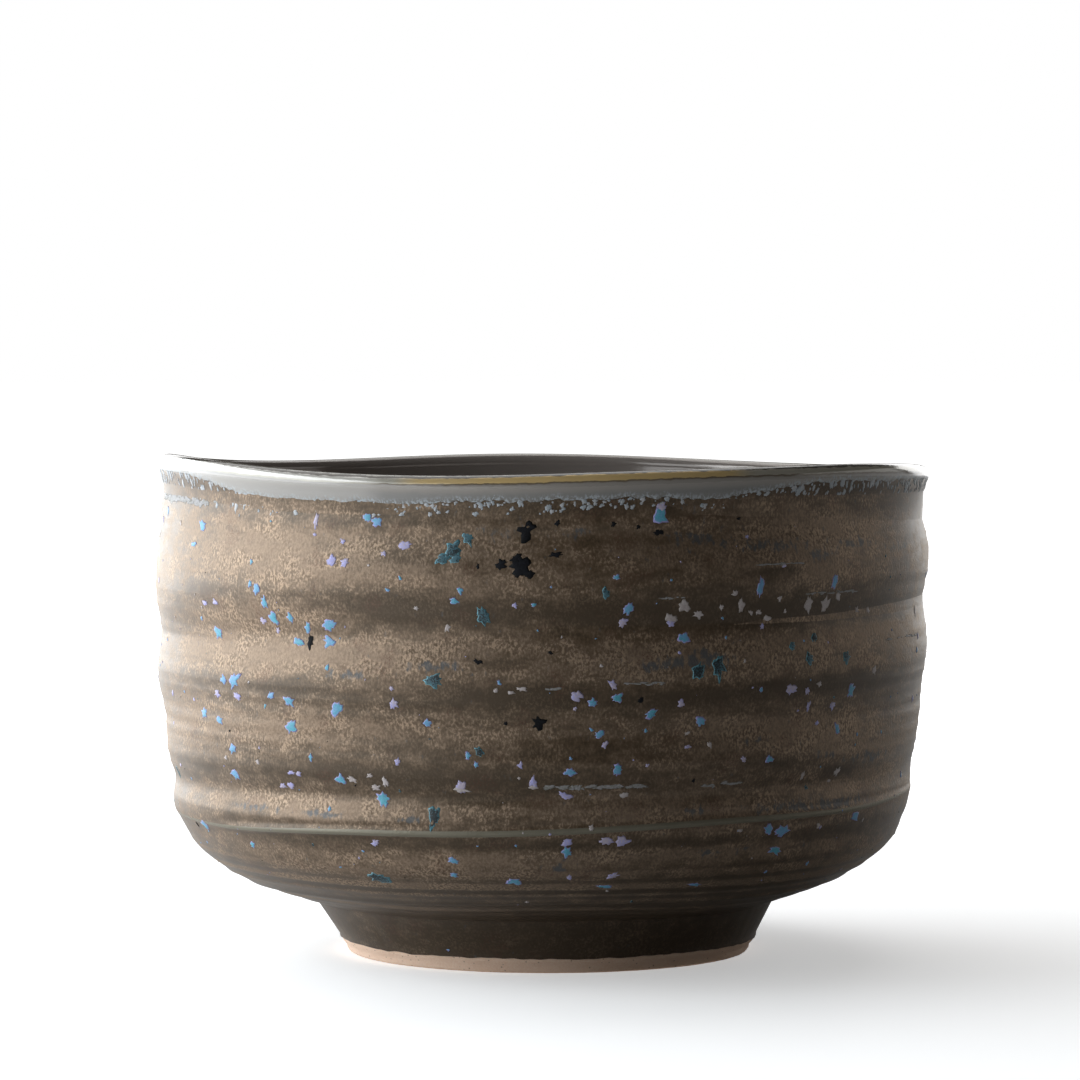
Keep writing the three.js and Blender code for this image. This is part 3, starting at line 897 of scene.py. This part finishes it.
def crest_gold_and_highlight(bearing):
    """How golden the lip's crest is: 1 in front, 0 on the right, and -1, which means a pale cream that
    is a painted highlight, on the left."""
    aside = from_front(bearing)
    right = between(aside, 0.40, 0.58) * (1 - between(aside, 1.6, 2.4))
    # On the left the crest is painted pale cream: a painted highlight.
    left = (1 - between(aside, -0.50, -0.28)) * between(aside, -2.4, -1.8)
    return np.clip(1 - right - 2 * left, -1, 1) + 0.15 * ripples(bearing, 0, 74, 14, (1, 2))


def hip_olive_and_highlight(bearing, height):
    """The pale band on the hip line, its olive glaze with a painted highlight along it: wider in front,
    and faint behind.
    """
    up = height - hip_height(bearing)
    width = (0.24 + 0.24 * between(np.cos(bearing - 0.1), 0.2, 1.0)) * MM
    return np.exp(-((up / width) ** 4)) * (1 - 0.75 * between(np.abs(np.sin(bearing / 2)), 0.45, 0.75))


def slate_strength(bearing, height):
    """Where the glaze is slate blue: the listed clouds, and random streaks behind."""
    behind = between(-np.cos(bearing), -0.1, 0.4)
    streaks = ripples(bearing, height, 72, 7, (5 * MM, 14 * MM), 20)
    return clouds(bearing, height, SLATE_CLOUDS) + 0.7 * behind * between(streaks, 1.0, 1.8)


def describe(piece, along, columns):
    """Stores six numbers on each vertex: thinness, which also holds painted light on the flanks that
    face the light, slate and hip_line, whose pale colour is partly a painted highlight; below_lip and
    lip_edge, which are how far the vertex and the lower edge of the lip's coat lie under the crest, in
    millimetres, less than nothing for a vertex inside the bowl; and how golden the crest is, where
    values below zero are a painted highlight on the left."""
    bearing = all_round(columns)
    height = section(along + 0 * bearing)[1]
    below = np.where(along < AT_CREST, LIP - height, height - LIP)
    known_values = {
        # Thinness, with painted light on the flanks that face the light and a darker zone under the lip.
        "thin": thinness_and_lit_flank(bearing, height),
        "slate": slate_strength(bearing, height),
        # The hip line's pale band, partly a painted highlight.
        "hip_line": hip_olive_and_highlight(bearing, height),
        "below_lip": below / MM,
        "lip_edge": lip_edge(bearing) / MM + 0 * height,
        # How golden the crest is; below zero, a painted highlight on the left.
        "gold_and_highlight": crest_gold_and_highlight(bearing) + 0 * height,
    }
    for name, grid in known_values.items():
        stored = piece.data.attributes.new(name, "FLOAT", "POINT")
        stored.data.foreach_set("value", np.ascontiguousarray(grid, np.float32).ravel())


describe(outer_coat, outer_along, OUTER_COLUMNS)
describe(lip_coat, lip_along, LIP_COLUMNS)
print("thinness from", round(float(thinness_and_lit_flank(all_round(200), 40 * MM).min()), 2))

# %% [markdown]
# ## A small kit for finishes
# Every finish here is a node tree. The few helpers below keep the trees short: one adds a node and
# joins its inputs, and the rest name the steps that a glaze needs. Noise sizes are in
# metres, because the patterns read Object coordinates and so keep the scale of the real pot.

# %% Helpers for node trees
def put(tree, kind, sockets=None, **settings):
    """Adds a node, sets its properties, and fills its inputs with numbers or links."""
    node = tree.nodes.new("ShaderNode" + kind)
    for key, value in settings.items():
        setattr(node, key, value)
    for key, value in (sockets or {}).items():
        if isinstance(value, bpy.types.NodeSocket):
            tree.links.new(value, node.inputs[key])
        else:
            node.inputs[key].default_value = value
    return node


def noise(tree, size, stretch=(1, 1, 1), detail=3.0, rough=0.55, shift=0.0):
    """Cloudy noise with features of about a size in metres, pulled out where stretch is small."""
    where = put(tree, "TexCoord").outputs["Object"]
    moved = put(tree, "Mapping", {"Vector": where, "Scale": stretch, "Location": (shift, 0, 0)})
    return put(tree, "TexNoise", {"Vector": moved.outputs[0], "Scale": 1 / size, "Detail": detail,
                                  "Roughness": rough}).outputs["Fac"]


def cells(tree, size):
    """Distance to the nearest of many scattered points, about a size apart."""
    where = put(tree, "TexCoord").outputs["Object"]
    return put(tree, "TexVoronoi", {"Vector": where, "Scale": 1 / size}).outputs["Distance"]


def known(tree, attribute):
    return put(tree, "Attribute", attribute_name=attribute).outputs["Fac"]


def sums(tree, operation, first, second=0.0, third=0.0):
    return put(tree, "Math", {0: first, 1: second, 2: third}, operation=operation).outputs[0]


def step(tree, value, low, high, to_low=0.0, to_high=1.0):
    """A smooth step of a value from low to high, as a number from to_low to to_high."""
    return put(tree, "MapRange", {"Value": value, "From Min": low, "From Max": high,
                                  "To Min": to_low, "To Max": to_high},
               interpolation_type="SMOOTHSTEP").outputs[0]


def blend(tree, factor, first, second):
    """Mixes two colours, given as links or as (r, g, b)."""
    node = put(tree, "Mix", {"Factor": factor}, data_type="RGBA")
    for socket, colour in ((node.inputs[6], first), (node.inputs[7], second)):
        if isinstance(colour, bpy.types.NodeSocket):
            tree.links.new(colour, socket)
        else:
            socket.default_value = (*colour, 1)
    return node.outputs[2]


def new_finish(name, specular=0.5, coat=0.0, coat_roughness=0.1):
    """An empty material with its shader, whose even values are set on the shader itself."""
    material = bpy.data.materials.new(name)
    material.use_nodes = True
    shader = material.node_tree.nodes["Principled BSDF"]
    shader.inputs["Specular IOR Level"].default_value = specular
    shader.inputs["Coat Weight"].default_value = coat
    shader.inputs["Coat Roughness"].default_value = coat_roughness
    return material, material.node_tree, shader


def join(tree, shader, colour, roughness, metallic=None, height=None, relief=0.0):
    """Connects a finish's colour, roughness, metal and bump; relief is the bump in metres."""
    tree.links.new(colour, shader.inputs["Base Color"])
    tree.links.new(roughness, shader.inputs["Roughness"])
    if metallic is not None:
        tree.links.new(metallic, shader.inputs["Metallic"])
    if height is not None:
        bump_node = put(tree, "Bump", {"Height": height, "Distance": relief, "Strength": 1.0})
        tree.links.new(bump_node.outputs[0], shader.inputs["Normal"])


# %% [markdown]
# ## Bronze glaze
# This is a tenmoku kind of glaze: iron-rich, dark olive where it pools and satin bronze where it
# breaks over a ridge. The bronze is not flat paint: it is a felt of pale grains on a darker
# ground, because the melt separates into drops while it cools, and the drops run a little. So the
# colour follows the glaze's thickness, made ragged by wisps of noise; that number also holds painted
# light, the ridges' bronze moved onto the flanks that face the light. Where the glaze is thin it
# is broken into pale grains and dark pits of a third of a millimetre, in patches. Rust, slate blue
# and the hip line's olive, with a painted highlight in it, are laid over that. A little iron in the
# surface warms its reflections.

# %% Make the bronze glaze
DARK_OLIVE = (0.051, 0.033, 0.018)
WARM_BROWN = (0.094, 0.063, 0.038)
BRONZE = (0.190, 0.137, 0.096)
PALE_BRONZE = (0.375, 0.275, 0.190)
RUST = (0.075, 0.026, 0.016)
SLATE = (0.060, 0.075, 0.088)
# Pale olive of the hip line, partly a painted highlight along it.
HIP_OLIVE_AND_HIGHLIGHT = (0.165, 0.152, 0.113)


def bronze_glaze():
    """From thick glaze to thinner, with painted light on flanks that face the light: dark olive, warm
    brown, bronze, and pale grains with pits between.
    """
    material, tree, shader = new_finish("bronze_glaze")
    shader.inputs["Specular Tint"].default_value = (1.0, 0.93, 0.84, 1)
    thin, slate, hip = known(tree, "thin"), known(tree, "slate"), known(tree, "hip_line")
    wisp = noise(tree, 3.2 * MM, (1, 1, 2.0), 4, 0.6)
    grain = noise(tree, 0.34 * MM, (1, 1, 0.7), 2, 0.5, shift=3)
    dust = noise(tree, 0.17 * MM, (1, 1, 0.8), 2)
    patch = step(tree, noise(tree, 6 * MM, (1, 1, 1.8), 3, shift=21), 0.42, 0.60, 0.25, 1.0)
    # The thinness holds painted light too: bronze on the flanks that face the light.
    ragged = sums(tree, "ADD", thin, sums(tree, "MULTIPLY_ADD", wisp, 3.0, -1.5))
    ragged = sums(tree, "ADD", ragged, sums(tree, "MULTIPLY_ADD", grain, 1.6, -0.8))
    colour = blend(tree, step(tree, ragged, -1.1, 0.0), DARK_OLIVE, WARM_BROWN)
    bare = step(tree, ragged, -0.4, 0.9)
    colour = blend(tree, bare, colour, BRONZE)
    grains = step(tree, sums(tree, "MULTIPLY_ADD", dust, 0.5, grain), 0.73, 0.86)
    pale = sums(tree, "MULTIPLY", grains, sums(tree, "MULTIPLY_ADD", bare, 0.70, 0.10))
    colour = blend(tree, sums(tree, "MULTIPLY", pale, patch), colour, PALE_BRONZE)
    pits = sums(tree, "MULTIPLY", step(tree, grain, 0.47, 0.38), sums(tree, "MULTIPLY", bare, 0.9))
    colour = blend(tree, sums(tree, "MULTIPLY", pits, patch), colour, WARM_BROWN)
    rust = noise(tree, 5 * MM, detail=2, shift=14)
    rusty = sums(tree, "MULTIPLY", step(tree, rust, 0.56, 0.70, 0.0, 0.6), step(tree, dust, 0.50, 0.62))
    colour = blend(tree, rusty, colour, RUST)
    streak = noise(tree, 0.8 * MM, (1, 1, 0.5), 3, 0.6, shift=9)
    slate_mask = step(tree, sums(tree, "MULTIPLY_ADD", streak, 3.0, slate), 1.95, 2.45, 0.0, 0.75)
    colour = blend(tree, slate_mask, colour, SLATE)
    # The hip line's olive band, with a painted highlight along it.
    band = step(tree, sums(tree, "MULTIPLY_ADD", dust, 0.4, hip), 0.55, 0.75)
    colour = blend(tree, band, colour, HIP_OLIVE_AND_HIGHLIGHT)
    metallic = sums(tree, "MULTIPLY_ADD", bare, 0.35, 0.15)
    roughness = sums(tree, "MULTIPLY_ADD", grain, 0.20, 0.28)
    roughness = sums(tree, "MULTIPLY_ADD", bare, 0.08, roughness)
    felt = sums(tree, "MULTIPLY", sums(tree, "MULTIPLY_ADD", dust, 0.4, grain),
                sums(tree, "MULTIPLY_ADD", bare, 0.7, 0.3))
    join(tree, shader, colour, roughness, metallic, felt, 0.035 * MM)
    return material


# %% [markdown]
# ## The lip's glaze
# On the lip the glaze is thick, glossy and blue-grey, but it thins out over the crest, where it
# breaks: to amber in front and to plain grey on the right, with a thin brown line on each side. On
# the left the break is painted a pale cream, and the line under it and the grey below are painted
# paler: a painted highlight of the left softbox. So its colour depends mostly on one number, the
# distance below the crest. The grey part is satin, and only the crest is glossy enough to mirror
# the softboxes crisply.

# %% Make the lip's glaze
INSIDE_BROWN = (0.215, 0.187, 0.168)
CREST_BROWN = (0.24, 0.22, 0.19)
DARK_LINE = (0.06, 0.05, 0.04)
PLAIN_BREAK = (0.34, 0.32, 0.27)
AMBER_BREAK = (0.53, 0.38, 0.17)
# Painted highlight: a pale cream for the break on the left, where the left softbox is mirrored.
PAINTED_HIGHLIGHT_BREAK = (0.50, 0.48, 0.44)
BROWN_LINE = (0.13, 0.105, 0.075)
# Painted highlight: the line under the break is cream on the left.
PAINTED_HIGHLIGHT_LINE = (0.40, 0.37, 0.31)
UPPER_GREY = (0.255, 0.236, 0.213)
LOWER_GREY = (0.185, 0.181, 0.173)
# Painted highlight: the grey below is paler on the left.
PAINTED_HIGHLIGHT_GREY = (0.335, 0.32, 0.30)
EDGE_BLUE = (0.36, 0.40, 0.43)


def lip_glaze():
    """Colours from the inside over the crest to the ragged edge, each with its own distance below."""
    material, tree, shader = new_finish("lip_glaze", coat=0.35, coat_roughness=0.06)
    below, edge, gold_and_highlight = known(tree, "below_lip"), known(tree, "lip_edge"), known(tree, "gold_and_highlight")
    mottle = noise(tree, 1.6 * MM, (1, 1, 2), 3)
    fine = noise(tree, 0.35 * MM, (1, 1, 0.7), 2)
    drift = sums(tree, "ADD", below, sums(tree, "MULTIPLY_ADD", mottle, 0.4, -0.2))
    # The left part of the lip, whose colours are painted paler as a highlight.
    left = step(tree, gold_and_highlight, -0.05, -0.9)
    colour = blend(tree, step(tree, drift, -0.35, -0.10), INSIDE_BROWN, CREST_BROWN)
    colour = blend(tree, step(tree, drift, 0.04, 0.10), colour, DARK_LINE)
    broken = blend(tree, step(tree, gold_and_highlight, 0.0, 1.0), PLAIN_BREAK, AMBER_BREAK)
    # On the left the break is painted pale cream, a painted highlight.
    broken = blend(tree, left, broken, PAINTED_HIGHLIGHT_BREAK)
    colour = blend(tree, step(tree, drift, 0.28, 0.38), colour, broken)
    # On the left the line under the break is painted cream, a painted highlight.
    line = blend(tree, left, BROWN_LINE, PAINTED_HIGHLIGHT_LINE)
    colour = blend(tree, step(tree, drift, 1.02, 1.12), colour, line)
    grey = blend(tree, step(tree, drift, 1.9, 3.0), UPPER_GREY, LOWER_GREY)
    # On the left the grey is painted paler, a painted highlight.
    grey = blend(tree, sums(tree, "MULTIPLY", left, 0.7), grey, PAINTED_HIGHLIGHT_GREY)
    colour = blend(tree, step(tree, drift, 1.18, 1.4), colour, grey)
    to_edge = sums(tree, "SUBTRACT", edge, below)
    feather = step(tree, to_edge, 1.1, 0.1, 0.0, 0.9)
    pale = sums(tree, "MULTIPLY", feather, step(tree, fine, 0.45, 0.6))
    colour = blend(tree, pale, colour, EDGE_BLUE)
    roughness = step(tree, drift, 0.9, 2.6, 0.12, 0.42)
    tree.links.new(step(tree, drift, 0.9, 1.5, 0.35, 0.06), shader.inputs["Coat Weight"])
    join(tree, shader, colour, roughness, step(tree, drift, 0.4, 1.4, 0.25, 0.05), fine, 0.012 * MM)
    return material


# %% [markdown]
# ## The inner and the hollow's glaze, and the clay
# The inside is a glossy grey-brown with paler grey runs below the lip. The hollow of the foot has
# the same glaze with fainter runs. The bare clay is peach-coloured and sandy.

# %% Make the inner glaze and the clay
INNER_DARK = (0.150, 0.128, 0.112)
INNER_LIGHT = (0.225, 0.196, 0.176)
RUN_GREY = (0.33, 0.31, 0.31)
CLAY_PINK = (0.74, 0.50, 0.36)
CLAY_PEACH = (0.86, 0.64, 0.49)
SAND = (0.92, 0.76, 0.63)
IRON_SPECK = (0.25, 0.14, 0.085)


def dark_glaze(name, runs):
    """Glossy grey-brown; runs, from 0 to 1, says how strong the paler grey streaks are."""
    material, tree, shader = new_finish(name, coat=0.25, coat_roughness=0.08)
    cloud = noise(tree, 14 * MM, (1, 1, 1.4), 4)
    streak = noise(tree, 2.2 * MM, (1, 1, 0.16), 4, shift=5)
    fine = noise(tree, 0.45 * MM, (1, 1, 0.5), 3)
    colour = blend(tree, step(tree, cloud, 0.35, 0.65), INNER_DARK, INNER_LIGHT)
    grey = sums(tree, "MULTIPLY", step(tree, streak, 0.50, 0.66, 0.0, runs), step(tree, fine, 0.35, 0.6))
    colour = blend(tree, grey, colour, RUN_GREY)
    roughness = sums(tree, "MULTIPLY_ADD", fine, 0.16, 0.14)
    join(tree, shader, colour, roughness, None, sums(tree, "MULTIPLY_ADD", streak, 0.5, fine), 0.02 * MM)
    return material


def clay(name):
    """Peach-coloured fired clay, with paler sand and a few iron specks."""
    material, tree, shader = new_finish(name, specular=0.25)
    sand = noise(tree, 0.28 * MM, detail=3)
    cloud = noise(tree, 7 * MM, detail=3)
    specks = step(tree, cells(tree, 1.1 * MM), 0.16, 0.08)
    colour = blend(tree, cloud, CLAY_PINK, CLAY_PEACH)
    colour = blend(tree, step(tree, sand, 0.35, 0.7, 0, 0.35), colour, SAND)
    colour = blend(tree, sums(tree, "MULTIPLY", specks, 0.6), colour, IRON_SPECK)
    roughness = sums(tree, "MULTIPLY_ADD", sand, 0.2, 0.72)
    join(tree, shader, colour, roughness, None, sand, 0.05 * MM)
    return material


# %% [markdown]
# ## Crystal finishes
# Each kind of crystal has a shallow two-colour mottle, chosen by fine noise and by the island's own
# random tone, and a shore of another colour where the crystal thins out: lavender round blue, and
# bright teal round dark teal.

# %% Make the crystals' finishes
def crystal(name, heart, body, shore_colour, roughness, mottle=0.5):
    """Heart and body are mottled through each other; the shore colour lies along the outline."""
    material, tree, shader = new_finish(name, specular=0.4 if roughness < 0.5 else 0.15)
    tone, shore = known(tree, "tone"), known(tree, "shore")
    fine = noise(tree, 0.22 * MM, detail=2)
    choice = sums(tree, "ADD", sums(tree, "MULTIPLY_ADD", fine, 2.2, -1.1),
                  sums(tree, "MULTIPLY_ADD", tone, 0.6, 0.2))
    colour = blend(tree, step(tree, choice, 0.5 - mottle, 0.5 + mottle), heart, body)
    rim = sums(tree, "MULTIPLY_ADD", fine, 0.5, shore)
    colour = blend(tree, step(tree, rim, 0.70, 1.0), colour, shore_colour)
    rough = sums(tree, "MULTIPLY_ADD", fine, 0.2, roughness)
    join(tree, shader, colour, rough, None, fine, 0.02 * MM)
    return material


FINISHES = {
    "outer_glaze_coat": bronze_glaze(),
    "lip_glaze_coat": lip_glaze(),
    "inner_glaze_coat": dark_glaze("inner_glaze", 0.8),
    "foot_hollow_glaze": dark_glaze("foot_glaze", 0.3),
    "clay_wall": clay("clay"),
    "bare_foot_ring": clay("bare_clay"),
    "blue_crystals": crystal("blue_crystal", (0.08, 0.33, 0.42), (0.14, 0.31, 0.52),
                             (0.29, 0.27, 0.52), 0.35, 0.3),
    "lavender_crystals": crystal("lavender_crystal", (0.34, 0.34, 0.64), (0.43, 0.38, 0.46),
                                 (0.33, 0.30, 0.44), 0.4, 0.35),
    "teal_crystals": crystal("teal_crystal", (0.012, 0.018, 0.020), (0.05, 0.12, 0.15),
                             (0.10, 0.25, 0.30), 0.35, 0.2),
    "pale_crystals": crystal("pale_crystal", (0.36, 0.31, 0.30), (0.44, 0.40, 0.40),
                             (0.30, 0.27, 0.25), 0.45, 0.4),
    "black_iron_stars": crystal("iron_star", (0.003, 0.003, 0.004), (0.008, 0.009, 0.012),
                                (0.003, 0.004, 0.004), 0.6),
    "lip_spatter": crystal("spatter", (0.27, 0.31, 0.34), (0.38, 0.38, 0.39), (0.25, 0.28, 0.31), 0.35),
    "crease_frost": crystal("frost", (0.19, 0.19, 0.17), (0.27, 0.26, 0.27), (0.14, 0.14, 0.13), 0.45),
}
for name, finish in FINISHES.items():
    bpy.data.objects[name].data.materials.append(finish)
print("finishes:", len(bpy.data.materials))

# %% [markdown]
# ## The studio
# The bowl stands on a white table in a white room. A wide softbox fills the left side and reaches
# round behind the bowl, with a panel further back for the far left edge. A weaker panel carries it
# on towards the front: its end is the crisp end of the light band on the lip. The room is dim in
# front, so the glaze turns dark there. A card at the back right puts a thin light on that edge, a
# dim wall fills the right, and a softbox overhead hangs well behind the bowl and lights the lip and
# the inner wall. The table itself glows, in its shader, on the left and at the back: a painted pool
# of light for the softbox falling on it, and that glow lights the underside. Each light is given by
# its brightness, because that is what a glossy glaze mirrors; a lamp's power is pi times its
# brightness times its area.

# %% Build the table
NEAR, FAR = 0.20, 0.50
GLOW_NEAR, GLOW_FAR = 0.42, 1.1
TONE_REFLECTED, TONE_SEEN = 0.42, 0.86
LEFT_GLOW = 1.35
BACK_GLOW = 0.3


def table_top():
    """White table. What is seen of it is lifted to white, the more so away from the bowl, where it
    runs into the white room. To everything but the camera it is a mild grey that glows on the left
    and at the back."""
    material, tree, shader = new_finish("table_top", specular=0.2)
    seen = put(tree, "LightPath").outputs["Is Camera Ray"]
    cloud = noise(tree, 0.05, detail=2)
    tone = sums(tree, "MULTIPLY_ADD", cloud, 0.03, step(tree, seen, 0, 1, TONE_REFLECTED, TONE_SEEN))
    grey = put(tree, "CombineColor", {"Red": tone, "Green": tone, "Blue": tone}).outputs[0]
    away = put(tree, "VectorMath", {0: put(tree, "TexCoord").outputs["Object"]}, operation="LENGTH")
    glow = step(tree, away.outputs["Value"], NEAR, FAR, GLOW_NEAR, GLOW_FAR)
    place = put(tree, "SeparateXYZ", {0: put(tree, "TexCoord").outputs["Object"]}).outputs
    # Painted light: to all but the camera the table glows on the left and at the back, as if the softbox
    # fell there.
    lit = sums(tree, "ADD", step(tree, place["X"], 0.04, -0.25, 0.0, LEFT_GLOW),
               step(tree, place["Y"], 0.10, 0.60, 0.0, BACK_GLOW))
    strength = put(tree, "Mix", {"Factor": seen, "A": lit, "B": glow}).outputs[0]
    tree.links.new(strength, shader.inputs["Emission Strength"])
    shader.inputs["Emission Color"].default_value = (1, 1, 1, 1)
    join(tree, shader, grey, step(tree, cloud, 0, 1, 0.6, 0.7))
    return material


floor_mesh = bpy.data.meshes.new("floor")
floor_mesh.from_pydata([(-6, -6, 0), (6, -6, 0), (6, 9, 0), (-6, 9, 0)], [], [(0, 1, 2, 3)])
floor = bpy.data.objects.new("floor", floor_mesh)
bpy.context.scene.collection.objects.link(floor)
floor_mesh.materials.append(table_top())

# %% Hang the lights
def softbox(name, place, target, width, height, brightness, colour=(1, 1, 1)):
    """A rectangular area light at a place, turned to face a target."""
    light = bpy.data.lights.new(name, "AREA")
    light.shape, light.size, light.size_y = "RECTANGLE", width, height
    light.energy = brightness * np.pi * width * height
    light.color = colour
    lamp = bpy.data.objects.new(name, light)
    lamp.location = place
    lamp.rotation_euler = (Vector(target) - Vector(place)).to_track_quat("-Z", "Y").to_euler()
    bpy.context.scene.collection.objects.link(lamp)
    return lamp


BOWL_MIDDLE = (0, 0, LIP / 2)
KEY_TINT = (0.92, 0.98, 1.03)
softbox("left_softbox", (-0.60, 0.45, 0.34), (0, 0.45, 0.34), 1.6, 0.68, 4.25, KEY_TINT)
softbox("front_left_panel", (-0.52, -0.50, 0.30), BOWL_MIDDLE, 0.32, 0.6, 1.6, KEY_TINT)
softbox("back_left_panel", (-0.44, 1.25, 0.25), BOWL_MIDDLE, 0.50, 0.5, 1.7)
softbox("overhead_softbox", (-0.15, 0.75, 1.15), BOWL_MIDDLE, 1.3, 1.2, 1.4)
softbox("right_card", (0.38, 0.78, 0.20), BOWL_MIDDLE, 0.46, 0.4, 2.2)
softbox("right_wall", (0.95, 0.30, 0.25), BOWL_MIDDLE, 1.0, 0.6, 0.55)

ROOM_LIGHT = 0.055
world = bpy.data.worlds.new("white_room")
bpy.context.scene.world = world
world.use_nodes = True
room = world.node_tree
room.nodes.clear()
seen = put(room, "Background", {"Color": (1, 1, 1, 1), "Strength": 1.0})
around = put(room, "Background", {"Color": (1, 0.93, 0.84, 1), "Strength": ROOM_LIGHT})
to_camera = put(room, "LightPath").outputs["Is Camera Ray"]
mixed = put(room, "MixShader", {0: to_camera, 1: around.outputs[0], 2: seen.outputs[0]})
room.links.new(mixed.outputs[0], put(room, "OutputWorld").inputs[0])

# %% [markdown]
# ## The camera
# A long lens from 0.76 m, a little above the lip's height and tilted down by a couple of degrees,
# shows the foot almost flat and just a strip of the inside. The view transform is Standard, so that
# the white table stays white.

# %% Place the camera
CAMERA_DISTANCE = 0.760
CAMERA_HEIGHT = 0.0955
CAMERA_ASIDE = -0.25 * MM
CAMERA_TILT = np.radians(2.399)

camera_data = bpy.data.cameras.new("camera")
camera_data.sensor_width = 36
camera_data.lens = 163.1
camera = bpy.data.objects.new("camera", camera_data)
camera.location = (CAMERA_ASIDE, -CAMERA_DISTANCE, CAMERA_HEIGHT)
camera.rotation_euler = (np.pi / 2 - CAMERA_TILT, 0, 0)
bpy.context.scene.collection.objects.link(camera)
bpy.context.scene.camera = camera
bpy.context.scene.view_settings.view_transform = "Standard"
print("camera tilts down", round(float(np.degrees(CAMERA_TILT)), 1), "degrees")
